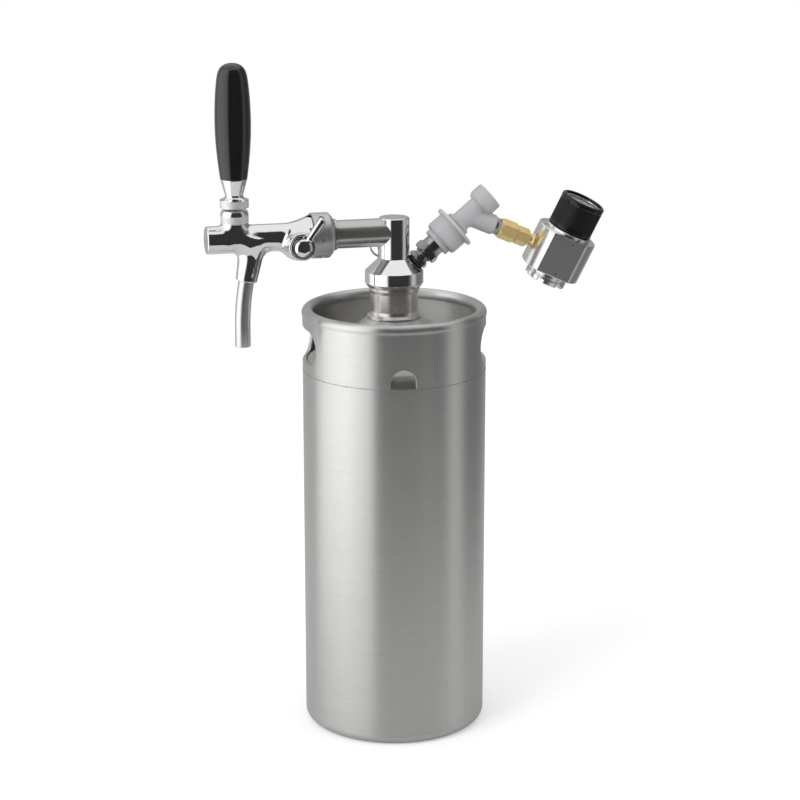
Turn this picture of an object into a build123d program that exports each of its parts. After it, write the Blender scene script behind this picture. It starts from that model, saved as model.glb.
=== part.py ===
from build123d import *
import os
from math import cos, radians, sin, sqrt, tan

# Mini keg beer dispenser. All sizes in millimetres, +Z up, origin at the centre of the keg's foot.
# The keg's hand slots face +X and -X. The dispensing head is turned on the keg by head_turn.

# clearances
fixed_gap = 0.05        # between pieces that are pressed, glued or screwed together
running_gap = 0.06      # radial, shaft in bearing
free_gap = 0.3          # between surfaces that pass each other without touching

# keg vessel
keg_radius = 66.5
keg_wall = 1.2
foot_width = 11.5       # from the keg's outside to the recess under it
base_recess = 5.0
base_corner = 3.4
seam_height = 268.4
shoulder_skirt = 6.0
shoulder_rise = 5.5
shoulder_slope = 35.0
shoulder_knuckle = 9.0

# keg neck
neck_radius = 17.35
neck_bore_radius = 14.75
neck_rise = 15.0        # neck above the collar's rim
neck_lip_radius = 18.4
neck_lip_height = 2.0
neck_weld_radius = 20.0

# collar above the shoulder
collar_height = 45.6
rim_tube_radius = 4.1
rim_overhang = 0.5      # rim beyond the keg's side
slot_angle = 52.0       # arc that a hand slot covers, in degrees
slot_rise = 7.6         # slot above the seam
slot_height = 24.0
notch_width = 18.0
notch_height = 13.8

# dispenser cap
head_turn = 8.0
cap_radius = 21.06
cap_bottom_chamfer = 1.9
cap_bottom_bevel = 1.2
cap_band_height = 8.9
cap_cone_height = 9.5
gasket_thickness = 2.0
gasket_width = 2.1
plug_radius = 14.4
plug_depth = 13.0
gallery_radius = 7.5
cap_web = 6.1           # under the column's socket, around the dip tube

# dip tube
dip_tube_radius = 4.0
dip_tube_wall = 0.8
dip_tube_floor_gap = 7.8
dip_tube_slant = 20.0
dip_tube_engagement = 9.0
dip_ring_wire = 1.0

# riser column and shank
column_radius = 11.0
column_headroom = 10.8  # column above the arm's axis
column_top_chamfer = 1.0
column_spigot_radius = 7.0
column_spigot_depth = 5.5
beer_bore_radius = 3.0
arm_rise = 18.6         # arm's axis above the cap
shank_radius = 10.15
shank_bore_radius = 4.0
shank_spigot_radius = 6.5
shank_spigot_depth = 4.0
shank_ring_radius = 11.25
shank_ring_start = 43.0
shank_ring_width = 2.0
shank_flange_radius = 13.5
shank_flange_start = 49.3
shank_flange_width = 3.0

# ports for gas and relief on the cap's cone
port_tilt = 39.6        # elevation of a port's axis, in degrees
port_line_rise = 1.5    # where the ports' axes cross the keg's axis, above the cap's band
port_drilling_depth = 12.4
port_seat_depth = 0.5
port_spigot_radius = 4.15
port_spigot_depth = 5.4
port_bore_radius = 1.6
port_seat_radius = 6.5

# coupling nut
nut_length = 15.3
nut_radius = 16.3
nut_chamfer_length = 2.8
nut_chamfer_width = 3.1
nut_thread_radius = 14.5
nut_flange_width = 3.4
nut_seat_gap = 0.1
nut_edge = 0.7
spanner_hole_count = 6
spanner_hole_share = 0.6
spanner_hole_radius = 1.8
spanner_hole_depth = 1.2

# faucet body, lengths along the arm from the body's rear face
faucet_washer_thickness = 1.5
faucet_washer_margin = 3.0
faucet_washer_lip = 1.0
faucet_thread_radius = 14.2
flare_radius = 15.0
flare_length = 26.2
body_radius = 9.9
body_nose = 20.8        # body beyond the lever's axis
end_chamfer = 1.0
front_wall = 6.4
compensator_bore_radius = 9.4
chamber_distance = 20.2
chamber_radius = 7.0
seat_distance = 34.2
seat_width = 3.0
seat_bore_radius = 4.4
passage_radius = 5.6
guide_lead = 11.6       # shaft guide before the lever's axis
guide_radius = 6.6

# flow control, along its own axis from the arm's axis towards the drinker's side
flow_distance = 17.2
flow_drop = 4.0
flow_flare_radius = 12.6
flow_flare_start = 5.0
flow_flare_length = 10.0
flow_boss_radius = 9.8
flow_boss_length = 6.0
flow_dish_radius = 7.9
flow_dish_depth = 3.5
flow_shaft_radius = 3.9
flow_shaft_length = 12.8
flow_hub_radius = 6.5
flow_hub_rise = 6.0     # hub above the boss
flow_lever_rise = 2.9
flow_lever_angle = 55.0
flow_lever_reach = 24.8
flow_lever_root_radius = 2.3
flow_lever_tip_radius = 3.1
flow_lever_floor = 1.15  # bottom of the lever's socket, from the hub's axis
crank_offset = 1.5
crank_angle = 40.0
crank_radius = 1.0
crank_length = 5.3
compensator_distance = 3.2
compensator_length = 16.5
compensator_root_radius = 7.6
compensator_nose_radius = 5.2
crank_slot_gap = 0.4
crank_slot_depth_gap = 0.6

# tap lever, heights from the arm's axis
lever_distance = 61.8
boss_rise = 1.9         # lever boss above the body
pivot_rise = 2.5        # pivot above the boss
ball_radius = 6.0
lever_neck_radius = 2.4
lever_arm_radius = 1.4
lever_arm_length = 11.0
lever_tip_radius = 2.5
lever_swing = 30.0
lever_boss_radius = 8.65
bonnet_radius = 10.0
bonnet_band = 5.7
bonnet_shoulder = 3.7
bonnet_top_radius = 8.5
bonnet_thread_radius = 8.2
bonnet_thread_length = 3.1
washer_radius = 7.45
washer_rise = 3.0
handle_collar_gap = 1.3
handle_collar_radius = 10.3
handle_collar_band = 6.0
handle_collar_cone = 2.9
ferrule_length = 11.6
ferrule_low_radius = 6.3
ferrule_top_radius = 9.4
lever_thread_length = 7.0
grip_length = 81.0
grip_low_radius = 9.6
grip_radius = 12.7
grip_widest = 38.0      # height of the widest place above the grip's bottom
grip_shoulder = 74.0
grip_shoulder_radius = 10.3

# valve shaft
shaft_radius = 2.8
shaft_head_length = 15.0
shaft_nose = 10.4       # shaft's head beyond the lever's axis
seal_thickness = 3.0
seal_radius = 6.0
tail_nut_radius = 4.0
tail_nut_length = 2.4

# spout
spout_lean = 10.5
spout_setback = 13.3    # spout behind the lever's axis
nozzle_buried = 3.0
nozzle_length = 30.8
nozzle_low_radius = 7.6
nozzle_root_radius = 9.6
nozzle_socket = 13.0
spout_radius = 5.55
spout_wall = 0.9
spout_bend_radius = 190.0
spout_tail = 13.0

# gas post chain, lengths along the port's axis from its seat
post_washer_radius = 6.1
post_washer_thickness = 1.9
adapter_hex = 14.4
adapter_hex_length = 3.2
adapter_neck_radius = 5.85
adapter_neck_length = 3.7
adapter_thread_radius = 4.8
adapter_thread_length = 7.0
thread_end_gap = 0.2
adapter_bore_radius = 2.0
post_hex = 17.0
post_hex_length = 6.2
post_radius = 7.75
post_length = 26.1
post_edge = 0.8
post_bore_radius = 4.4
post_lid = 1.6
post_lid_bore_radius = 2.4
ball_groove_drop = 11.5  # groove below the post's end
ball_radius_lock = 1.8
ball_circle_radius = 8.95
ball_count = 4
post_ring_drop = 5.5
post_ring_wire = 1.1
poppet_radius = 3.6
poppet_head_length = 2.0
poppet_pressed = 1.5
poppet_pin_radius = 1.4
poppet_bevel = 0.6
poppet_tail_length = 8.0
poppet_spring_wire = 0.8
poppet_spring_margin = 0.2
poppet_spring_lift = 1.5

# gas disconnect, set out from the post's end
disconnect_reach = 20.6
barrel_radius = 10.6
barrel_bore_gap = 0.35
stop_ring_drop = 3.1
stop_ring_width = 1.7
stop_ring_radius = 11.7
collar_radius = 9.4
collar_bevel = 0.6
collar_rise = 2.5
post_headroom = 1.1
neck_tube_radius = 7.25
cavity_rise = 5.4
cavity_radius = 4.5
neck_tube_rise = 21.1
disconnect_head_length = 10.8
disconnect_head_radius = 10.75
disconnect_head_chamfer = 1.4
disconnect_edge = 0.5
screw_cap_radius = 7.6
screw_cap_depth = 6.0
screw_cap_sink = 0.4
screw_slot_width = 2.0
screw_slot_depth = 1.5
screw_slot_margin = 3.0
sleeve_radius = 13.5
sleeve_length = 15.0
sleeve_land_rise = 2.8  # land above the sleeve's open end
sleeve_land_width = 4.3
sleeve_land_radius = 10.9
sleeve_recess_radius = 12.4
sleeve_flange_radius = 16.55
sleeve_flange_width = 2.4
sleeve_edge = 0.4
sleeve_spring_wire = 0.8
side_arm_rise = 10.5
side_arm_angle = 63.0
side_arm_radius = 7.4
side_arm_length = 21.0
side_bore_radius = 2.0
side_arm_bevel = 1.0
side_spigot_radius = 5.3
side_spigot_length = 12.5
flare_seat_gap = 0.1
pin_rod_radius = 1.6
pin_head_radius = 3.8
pin_head_length = 2.5
pin_tail_length = 5.0
pin_spring_wire = 0.8
pin_spring_room = 1.0
pin_lift = 1.0
pin_meeting_rise = 0.4  # where the pin meets the poppet, above the post

# swivel nut and flare fitting on the side arm
flare_washer_thickness = 2.2
swivel_hex = 13.2
swivel_lead = 4.0       # nut beyond the arm's shoulder
swivel_length = 13.5
swivel_flange = 1.9
flare_head_radius = 5.25
flare_head_length = 2.9
fitting_neck_radius = 4.0
fitting_hex = 12.0
fitting_hex_length = 10.1
hex_seat_gap = 0.2
fitting_tail_depth = 6.0
fitting_bore_radius = 1.8

# regulator, lengths along its own axis from the side arm's axis
regulator_standoff = 3.95
regulator_roll = 10.0
flat_turn = -8.0
regulator_radius = 22.25
regulator_height = 31.0
regulator_flat = 18.5
regulator_chamfer = 0.8
gas_channel_radius = 2.5
gas_channel_drop = 3.0  # keeps the side drilling under the diaphragm
diaphragm_radius = 15.2
diaphragm_thickness = 1.0
diaphragm_floor = -1.0
bonnet_flange_radius = 17.5
bonnet_flange_width = 2.5
bonnet_flange_edge = 0.4
bonnet_skirt_wall = 3.0
bonnet_neck_radius = 11.0
bonnet_neck_wall = 1.8
bonnet_neck_gap = 1.5   # under the knob's web
bonnet_lid = 2.0
plate_radius = 8.0
plate_thickness = 1.0
plate_guide_margin = 0.8
plate_guide_height = 2.5
spring_seat_radius = 8.9
spring_seat_drop = 3.0  # below the bonnet's lid
spring_seat_thickness = 3.0
spring_wire = 2.0
screw_radius = 3.0
screw_collar_radius = 4.6
screw_collar_length = 1.8
screw_length = 21.0
knob_radius = 16.45
knob_height = 24.0
knob_bottom_band = 3.2
knob_top_band = 4.1
knob_groove_width = 0.7
knob_groove_depth = 0.6
knob_bevel = 1.0
knob_low_bevel = 0.5
knob_wall_top = 2.6
knob_socket_depth = 12.7
knob_web = 3.0
dial_thickness = 2.0
dial_rim = 0.7
dial_rim_height = 6.2
needle_height = 0.8
needle_thickness = 0.4
needle_reach = 9.4
needle_hub_radius = 1.4
needle_width = 1.4
needle_tail_length = 4.0
needle_angle = 135.0
spindle_radius = 0.5
lens_thickness = 1.1

# cartridge port under the regulator
port_ring_radius = 15.5
port_ring_height = 8.0
port_ring_bevel = 0.5
port_ring_spigot_radius = 12.1
port_ring_spigot = 4.3
port_socket_radius = 11.3
port_socket_depth = 6.0
port_groove_drop = 2.8
port_groove_width = 1.4
port_groove_depth = 0.9
port_thread_radius = 4.76
port_boss_radius = 7.8
port_boss_drop = 3.0
port_notch_width = 5.0
port_notch_depth = 2.6
port_notch_count = 6
piercer_radius = 3.9
piercer_length = 2.4
piercer_tip = 1.6
piercer_point = 0.2
piercer_bore_radius = 0.9
piercer_floor = 0.4
adapter_seal_thickness = 0.8

# relief valve, lengths along its port's axis from the seat
relief_hex = 14.0
relief_hex_length = 5.0
relief_body_radius = 6.4
relief_body_length = 9.1
relief_cap_radius = 5.2
relief_cap_length = 3.0
relief_cap_bevel = 0.8
relief_bore_radius = 4.6
relief_floor = 3.0
relief_vent_radius = 2.2
relief_disc_radius = 4.2
relief_disc_thickness = 1.5
relief_seal_thickness = 2.0
relief_stem_radius = 2.4
relief_eye_rise = 7.5   # eye above the body's cap
relief_eye_radius = 1.3
relief_stem_tip = 2.3
pull_ring_radius = 9.5
pull_ring_wire = 0.8
relief_spring_wire = 0.9

# places that several pieces share
inner_radius = keg_radius - keg_wall
foot_inner_radius = keg_radius - foot_width
rim_radius = keg_radius + rim_overhang
rim_top = seam_height + collar_height
slot_low = seam_height + slot_rise
neck_top = rim_top + neck_rise
gasket_top = neck_top + gasket_thickness
cap_underside = neck_top + free_gap
cap_band_low = cap_underside + cap_bottom_chamfer
cap_band_top = cap_band_low + cap_band_height
cap_top = cap_band_top + cap_cone_height
column_foot = cap_top - column_spigot_depth
gallery_top = column_foot - cap_web
dip_tube_bottom = base_recess + keg_wall + dip_tube_floor_gap
arm_height = cap_top + arm_rise
column_top = arm_height + column_headroom
cone_steepness = (cap_radius - column_radius) / cap_cone_height
port_line_foot = cap_band_low + port_line_rise
port_radial = (cap_radius + (cap_band_top - port_line_foot) * cone_steepness) / (
    1 + tan(radians(port_tilt)) * cone_steepness
)
port_seat_radial = port_radial - port_seat_depth * cos(radians(port_tilt))
port_seat_height = port_line_foot + port_seat_radial * tan(radians(port_tilt))
faucet_washer_start = shank_flange_start + shank_flange_width
faucet_start = faucet_washer_start + faucet_washer_thickness
nut_start = shank_flange_start - nut_seat_gap - nut_flange_width
nut_end = nut_start + nut_length
flare_end = faucet_start + flare_length
chamber_start = faucet_start + chamber_distance
seat_start = faucet_start + seat_distance
lever_position = faucet_start + lever_distance
guide_start = lever_position - guide_lead
shaft_head_front = lever_position + shaft_nose
body_end = lever_position + body_nose
spout_start = lever_position - spout_setback
bonnet_start = body_radius + boss_rise
pivot_height = bonnet_start + pivot_rise
flow_position = faucet_start + flow_distance
flow_flare_end = flow_flare_start + flow_flare_length
flow_boss_end = flow_flare_end + flow_boss_length
flow_shaft_start = flow_boss_end - flow_shaft_length
flow_hub_end = flow_boss_end + flow_hub_rise
flow_lever_height = flow_boss_end + flow_lever_rise
crank_end = flow_shaft_start - crank_length
compensator_start = faucet_start + compensator_distance
adapter_hex_start = post_washer_thickness
adapter_neck_start = adapter_hex_start + adapter_hex_length
post_start = adapter_neck_start + adapter_neck_length
post_end = post_start + post_hex_length + post_length
post_lid_low = post_end - post_lid
post_thread_end = post_start + adapter_thread_length + thread_end_gap
ball_groove_position = post_end - ball_groove_drop
post_ring_position = post_end - post_ring_drop
poppet_top = post_lid_low - poppet_pressed
poppet_spring_start = post_thread_end + poppet_spring_lift
pin_end = post_end + pin_meeting_rise
disconnect_bore_radius = post_radius + barrel_bore_gap
disconnect_start = post_end - disconnect_reach
stop_ring_start = post_end - stop_ring_drop
sleeve_end = stop_ring_start + stop_ring_width
sleeve_start = sleeve_end - sleeve_length
sleeve_land_start = sleeve_start + sleeve_land_rise
sleeve_land_end = sleeve_land_start + sleeve_land_width
collar_end = post_end + collar_rise
cavity_start = post_end + cavity_rise
disconnect_head_start = post_end + neck_tube_rise
disconnect_end = disconnect_head_start + disconnect_head_length
screw_cap_floor = disconnect_end - screw_cap_depth
side_arm_position = post_end + side_arm_rise
fitting_start = side_arm_length + side_spigot_length + flare_seat_gap
swivel_start = side_arm_length + swivel_lead
swivel_end = swivel_start + swivel_length
fitting_hex_start = swivel_end + hex_seat_gap
fitting_hex_end = fitting_hex_start + fitting_hex_length
regulator_distance = fitting_hex_end + regulator_standoff + regulator_radius
fitting_tail = regulator_distance - regulator_radius + fitting_tail_depth
handle_collar_low = bonnet_start + bonnet_band + bonnet_shoulder + handle_collar_gap
handle_collar_top = handle_collar_low + handle_collar_band + handle_collar_cone
ferrule_top = handle_collar_top + ferrule_length
regulator_top = regulator_height / 2
bonnet_flange_top = regulator_top + bonnet_flange_width
knob_low = bonnet_flange_top + free_gap
knob_top = knob_low + knob_height
knob_web_low = knob_low + knob_socket_depth
knob_web_top = knob_web_low + knob_web
bonnet_neck_top = knob_web_low - bonnet_neck_gap
spring_seat_top = bonnet_neck_top - bonnet_lid - spring_seat_drop
screw_low_end = knob_web_top - screw_length
dial_low = knob_web_top + fixed_gap
dial_face = dial_low + dial_thickness
relief_hex_end = post_washer_thickness + relief_hex_length
relief_body_end = relief_hex_end + relief_body_length
relief_cap_end = relief_body_end + relief_cap_length
relief_eye = relief_cap_end + relief_eye_rise
relief_stem_end = relief_eye + relief_stem_tip

# frames: Z runs along the piece's own axis
head_frame = Rot(0, 0, head_turn)
tap_frame = head_frame * Pos(0, 0, arm_height) * Rot(0, -90, 0)
lever_frame = head_frame * Pos(-lever_position, 0, arm_height)
flow_frame = tap_frame * Pos(-flow_drop, 0, flow_position) * Rot(90, 0, 0)
nozzle_frame = tap_frame * Pos(0, 0, spout_start) * Rot(0, spout_lean - 90, 0)
spout_frame = head_frame * Pos(-spout_start, 0, arm_height)


def port_frame(azimuth):
    seat = Pos(port_seat_radial, 0, port_seat_height)
    return Rot(0, 0, head_turn + azimuth) * seat * Rot(0, 90 - port_tilt, 0)


gas_frame = port_frame(0)
relief_frame = port_frame(90)
arm_frame = gas_frame * Pos(0, 0, side_arm_position) * Rot(0, side_arm_angle, 0)
regulator_frame = arm_frame * Pos(0, 0, regulator_distance) * Rot(0, 0, regulator_roll) * Rot(0, -90, 0)


# basic forms
def spin(section):
    # a section drawn as (radius, height), spun about Z
    return revolve(Plane.XZ * section, Axis.Z)


def turned(*corners):
    return spin(make_face(Polyline(*corners, close=True)))


def rod(radius, low, high):
    return Pos(0, 0, low) * Cylinder(radius, high - low, align=(Align.CENTER, Align.CENTER, Align.MIN))


def tube(radius, bore, low, high):
    return rod(radius, low, high) - rod(bore, low - 1, high + 1)


def cone(low_radius, high_radius, low, high):
    shape = Cone(low_radius, high_radius, high - low, align=(Align.CENTER, Align.CENTER, Align.MIN))
    return Pos(0, 0, low) * shape


def hexagon(across_flats, low, high):
    return Pos(0, 0, low) * extrude(RegularPolygon(across_flats / 2, 6, major_radius=False), high - low)


def hex_nut(across_flats, low, high):
    # hexagon with both ends turned down at the corners
    corner = across_flats / sqrt(3)
    bevel = corner - across_flats / 2
    blank = turned(
        (0, low),
        (across_flats / 2, low),
        (corner, low + bevel),
        (corner, high - bevel),
        (across_flats / 2, high),
        (0, high),
    )
    return hexagon(across_flats, low, high) & blank


# keg
def keg_shell():
    mid = keg_radius - keg_wall / 2
    low = keg_wall / 2
    path = FilletPolyline(
        (0, base_recess + low),
        (foot_inner_radius - base_recess, base_recess + low),
        (foot_inner_radius, low),
        (mid, low),
        (mid, seam_height),
        radius=base_corner,
    )
    return spin(trace(path, keg_wall))


def keg_shoulder():
    slope = radians(shoulder_slope)
    mid = inner_radius - fixed_gap - keg_wall / 2
    top_radius = neck_radius + fixed_gap + keg_wall / 2 * sin(slope)
    knee = seam_height + shoulder_rise
    path = FilletPolyline(
        (mid, seam_height - shoulder_skirt),
        (mid, knee),
        (top_radius, knee + (mid - top_radius) * tan(slope)),
        radius=shoulder_knuckle,
    )
    return spin(trace(path, keg_wall))


def keg_neck():
    slope = radians(shoulder_slope)
    mid = inner_radius - fixed_gap - keg_wall / 2
    joint = seam_height + shoulder_rise + (mid - neck_radius) * tan(slope)
    bead = joint + keg_wall
    lip = neck_top - neck_lip_height
    return turned(
        (neck_bore_radius, joint - 4),
        (neck_radius, joint - 4),
        (neck_radius, bead),
        (neck_weld_radius - 1.2, bead - 0.6),
        (neck_weld_radius - 0.6, bead),
        (neck_radius, bead + 2.2),
        (neck_radius, lip - 1),
        (neck_lip_radius, lip),
        (neck_lip_radius, neck_top),
        (neck_bore_radius, neck_top),
    )


def keg_collar():
    bead_radius = rim_radius - rim_tube_radius
    bead_height = rim_top - rim_tube_radius
    bead = Circle(rim_tube_radius) - Circle(rim_tube_radius - keg_wall)
    quarter = inner_radius - bead_radius
    opening = Pos(quarter / 2, -rim_tube_radius / 2) * Rectangle(quarter, rim_tube_radius)
    wall_height = bead_height - seam_height
    wall = Pos(keg_radius - keg_wall / 2, seam_height + wall_height / 2) * Rectangle(keg_wall, wall_height)
    ring = spin(wall + Pos(bead_radius, bead_height) * (bead - opening))
    return ring - hand_slots() - drain_notches()


def hand_slots():
    width = 2 * keg_radius * sin(radians(slot_angle / 2))
    across = Plane.YZ * SlotOverall(width, slot_height)
    cut = extrude(across, 2 * keg_radius, both=True)
    return Pos(0, 0, slot_low + slot_height / 2) * cut


def drain_notches():
    radius = notch_width / 2
    straight = notch_height - radius
    arch = Pos(0, straight / 2) * Rectangle(notch_width, straight) + Pos(0, straight) * Circle(radius)
    cut = extrude(Plane.XZ * arch, 2 * keg_radius, both=True)
    return Pos(0, 0, seam_height) * cut


# dispensing head
def neck_gasket():
    inner = plug_radius + free_gap
    return tube(inner + gasket_width, inner, neck_top, gasket_top)


def port_cut(azimuth):
    seat = rod(port_seat_radius + free_gap, 0, cap_cone_height + 2 * port_seat_depth)
    thread = rod(port_spigot_radius + fixed_gap, -port_spigot_depth, port_seat_depth)
    drilling = rod(port_bore_radius, -port_drilling_depth, 0)
    return Rot(0, 0, -head_turn) * port_frame(azimuth) * (seat + thread + drilling)


def dispenser_cap():
    groove = plug_radius + gasket_width + 2 * free_gap
    web = dip_tube_radius + free_gap
    cap = turned(
        (gallery_radius, gasket_top - plug_depth),
        (plug_radius, gasket_top - plug_depth),
        (plug_radius, gasket_top),
        (groove, gasket_top),
        (groove, cap_underside),
        (cap_radius - cap_bottom_bevel, cap_underside),
        (cap_radius, cap_band_low),
        (cap_radius, cap_band_top),
        (column_radius, cap_top),
        (column_spigot_radius + fixed_gap, cap_top),
        (column_spigot_radius + fixed_gap, column_foot),
        (web, column_foot),
        (web, gallery_top),
        (gallery_radius, gallery_top),
    )
    ring_room = dip_ring_wire + free_gap
    middle = dip_ring_height()
    ring_groove = rod(dip_tube_radius + 2 * ring_room, middle - ring_room, middle + ring_room)
    return cap - ring_groove - port_cut(0) - port_cut(90)


def dip_ring_height():
    return (gallery_top + column_foot) / 2


def dip_tube():
    dip_tube_top = column_foot + dip_tube_engagement
    pipe = tube(dip_tube_radius, dip_tube_radius - dip_tube_wall, dip_tube_bottom, dip_tube_top)
    slant_top = dip_tube_bottom + dip_tube_radius * tan(radians(dip_tube_slant))
    side = 8 * dip_tube_radius
    slant = Box(side, side, side / 2, align=(Align.CENTER, Align.CENTER, Align.MAX))
    return pipe - Pos(0, 0, slant_top) * Rot(0, dip_tube_slant, 0) * slant


def dip_tube_ring():
    return Pos(0, 0, dip_ring_height()) * Torus(dip_tube_radius + fixed_gap + dip_ring_wire, dip_ring_wire)


def riser_column():
    seat = column_foot + dip_tube_engagement
    blank = turned(
        (dip_tube_radius + running_gap, column_foot),
        (column_spigot_radius, column_foot),
        (column_spigot_radius, cap_top),
        (column_radius, cap_top),
        (column_radius, column_top - column_top_chamfer),
        (column_radius - column_top_chamfer, column_top),
        (0, column_top),
        (0, arm_height),
        (beer_bore_radius, arm_height),
        (beer_bore_radius, seat),
        (dip_tube_radius + running_gap, seat),
    )
    arm = Pos(0, 0, arm_height) * Rot(0, -90, 0)
    spigot_floor = column_radius - shank_spigot_depth
    socket = arm * rod(shank_spigot_radius + fixed_gap, spigot_floor, 2 * column_radius)
    return blank - socket - arm * rod(shank_bore_radius, -beer_bore_radius, column_radius)


def shank_tube():
    ring_end = shank_ring_start + shank_ring_width
    blank = turned(
        (shank_bore_radius, 0),
        (shank_radius, 0),
        (shank_radius, shank_ring_start),
        (shank_ring_radius, shank_ring_start),
        (shank_ring_radius, ring_end),
        (shank_radius, ring_end),
        (shank_radius, shank_flange_start),
        (shank_flange_radius, shank_flange_start),
        (shank_flange_radius, faucet_washer_start),
        (shank_bore_radius, faucet_washer_start),
    )
    column = Rot(0, 90, 0) * Cylinder(column_radius + fixed_gap, 4 * column_radius)
    spigot_start = column_radius - shank_spigot_depth
    spigot = tube(shank_spigot_radius, shank_bore_radius, spigot_start, column_radius + shank_spigot_depth)
    return blank - column + spigot


# faucet
def coupling_nut():
    bore = shank_radius + free_gap
    blank = turned(
        (bore, nut_start),
        (nut_radius - nut_chamfer_width, nut_start),
        (nut_radius, nut_start + nut_chamfer_length),
        (nut_radius, nut_end - nut_edge),
        (nut_radius - nut_edge, nut_end),
        (nut_thread_radius, nut_end),
        (nut_thread_radius, nut_start + nut_flange_width),
        (bore, nut_start + nut_flange_width),
    )
    hole = Pos(0, 0, nut_start + nut_length * spanner_hole_share) * Rot(0, 90, 0)
    hole = hole * rod(spanner_hole_radius, nut_radius - spanner_hole_depth, 2 * nut_radius)
    for index in range(spanner_hole_count):
        blank -= Rot(0, 0, 360 / spanner_hole_count * (index + 0.5)) * hole
    return blank


def faucet_washer():
    outer = nut_thread_radius - faucet_washer_margin
    return tube(outer, shank_bore_radius + faucet_washer_lip, faucet_washer_start, faucet_start)


def faucet_outside():
    low = nut_end + free_gap
    outline = Line((0, faucet_start), (faucet_thread_radius, faucet_start))
    outline += Line(outline @ 1, (faucet_thread_radius, low))
    outline += Line(outline @ 1, (flare_radius, low))
    outline += Spline(outline @ 1, (body_radius, flare_end), tangents=[(-0.35, 1), (0, 1)])
    outline += Line(outline @ 1, (body_radius, body_end - end_chamfer))
    outline += Line(outline @ 1, (body_radius - end_chamfer, body_end))
    outline += Line(outline @ 1, (0, body_end))
    outline += Line(outline @ 1, outline @ 0)
    return spin(make_face(outline))


def flow_boss():
    flare = cone(flow_flare_radius, flow_boss_radius, flow_flare_start, flow_flare_end)
    return flare + rod(flow_boss_radius, flow_flare_end, flow_boss_end)


def flow_boss_cut():
    dish = rod(flow_dish_radius, flow_boss_end - flow_dish_depth, flow_boss_end + 1)
    return dish + rod(flow_shaft_radius + running_gap, 0, flow_boss_end)


def lever_boss():
    boss = rod(lever_boss_radius, 0, bonnet_start)
    return boss + rod(bonnet_thread_radius, 0, bonnet_start + bonnet_thread_length)


def lever_boss_cut():
    seat = Pos(0, 0, pivot_height) * Sphere(ball_radius + running_gap)
    throat_height = pivot_height - washer_rise
    throat = sqrt((ball_radius + running_gap) ** 2 - washer_rise**2)
    sweep_reach = lever_arm_length * sin(radians(lever_swing)) + lever_tip_radius + free_gap
    passage = cone(sweep_reach, throat, guide_radius - 2 * free_gap, throat_height + 0.01)
    slot = Box(4 * sweep_reach, 2 * lever_tip_radius + 5 * free_gap, 4 * pivot_height)
    mouth = rod(ball_radius + running_gap, pivot_height, 2 * pivot_height)
    return seat + (passage & slot) + mouth


def faucet_cavity():
    nose = guide_radius * tan(radians(30))
    return turned(
        (0, faucet_washer_start),
        (compensator_bore_radius, faucet_washer_start),
        (chamber_radius, chamber_start),
        (chamber_radius, seat_start),
        (seat_bore_radius, seat_start),
        (seat_bore_radius, seat_start + seat_width),
        (passage_radius, seat_start + seat_width),
        (passage_radius, guide_start),
        (guide_radius, guide_start),
        (guide_radius, body_end - front_wall),
        (0, body_end - front_wall + nose),
    )


def nozzle():
    return cone(nozzle_root_radius, nozzle_low_radius, nozzle_buried, nozzle_length)


def nozzle_cut():
    passage = rod(spout_radius - spout_wall, 0, nozzle_length)
    return passage + rod(spout_radius + fixed_gap, nozzle_length - nozzle_socket, 2 * nozzle_length)


def faucet_body():
    from_tap = tap_frame.inverse()
    boss = from_tap * flow_frame
    lever = from_tap * lever_frame
    spout = from_tap * nozzle_frame
    body = faucet_outside() + boss * flow_boss() + lever * lever_boss() + spout * nozzle()
    nut_room = tube(2 * nut_radius, faucet_thread_radius, faucet_start, nut_end + free_gap)
    body -= faucet_cavity() + nut_room
    return body - boss * flow_boss_cut() - lever * lever_boss_cut() - spout * nozzle_cut()


def spout_tube():
    # the tube leaves the nozzle on its lean and bends until it hangs straight down
    lean = radians(spout_lean)
    start = nozzle_length - nozzle_socket
    entry = (-start * sin(lean), -start * cos(lean))
    leave = (-nozzle_length * sin(lean), -nozzle_length * cos(lean))
    centre = (leave[0] + spout_bend_radius * cos(lean), leave[1] - spout_bend_radius * sin(lean))
    straight = Line(entry, leave)
    bend = CenterArc(centre, spout_bend_radius, 180 - spout_lean, spout_lean)
    bend_end = (centre[0] - spout_bend_radius, centre[1])
    tail = Line(bend_end, (bend_end[0], bend_end[1] - spout_tail))
    path = Plane.XZ * (straight + bend + tail)
    mouth = Plane(origin=path @ 0, z_dir=path % 0)
    ring = mouth * (Circle(spout_radius) - Circle(spout_radius - spout_wall))
    return sweep(ring, path)


def valve_shaft():
    seal_start = seat_start - seal_thickness
    rear = shaft_head_front - shaft_head_length
    blank = turned(
        (0, seal_start - tail_nut_length),
        (tail_nut_radius, seal_start - tail_nut_length),
        (tail_nut_radius, seal_start),
        (shaft_radius, seal_start),
        (shaft_radius, rear),
        (guide_radius - running_gap, rear),
        (guide_radius - running_gap, shaft_head_front),
        (0, shaft_head_front),
    )
    pocket = 2 * lever_tip_radius + 2 * free_gap
    low = pivot_height - lever_arm_length - lever_tip_radius - 2 * free_gap
    slot = Box(2 * guide_radius, pocket, pocket, align=(Align.MIN, Align.CENTER, Align.CENTER))
    return blank - Pos(low, 0, lever_position) * slot


def valve_seal():
    return tube(seal_radius, shaft_radius + fixed_gap, seat_start - seal_thickness, seat_start)


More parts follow.
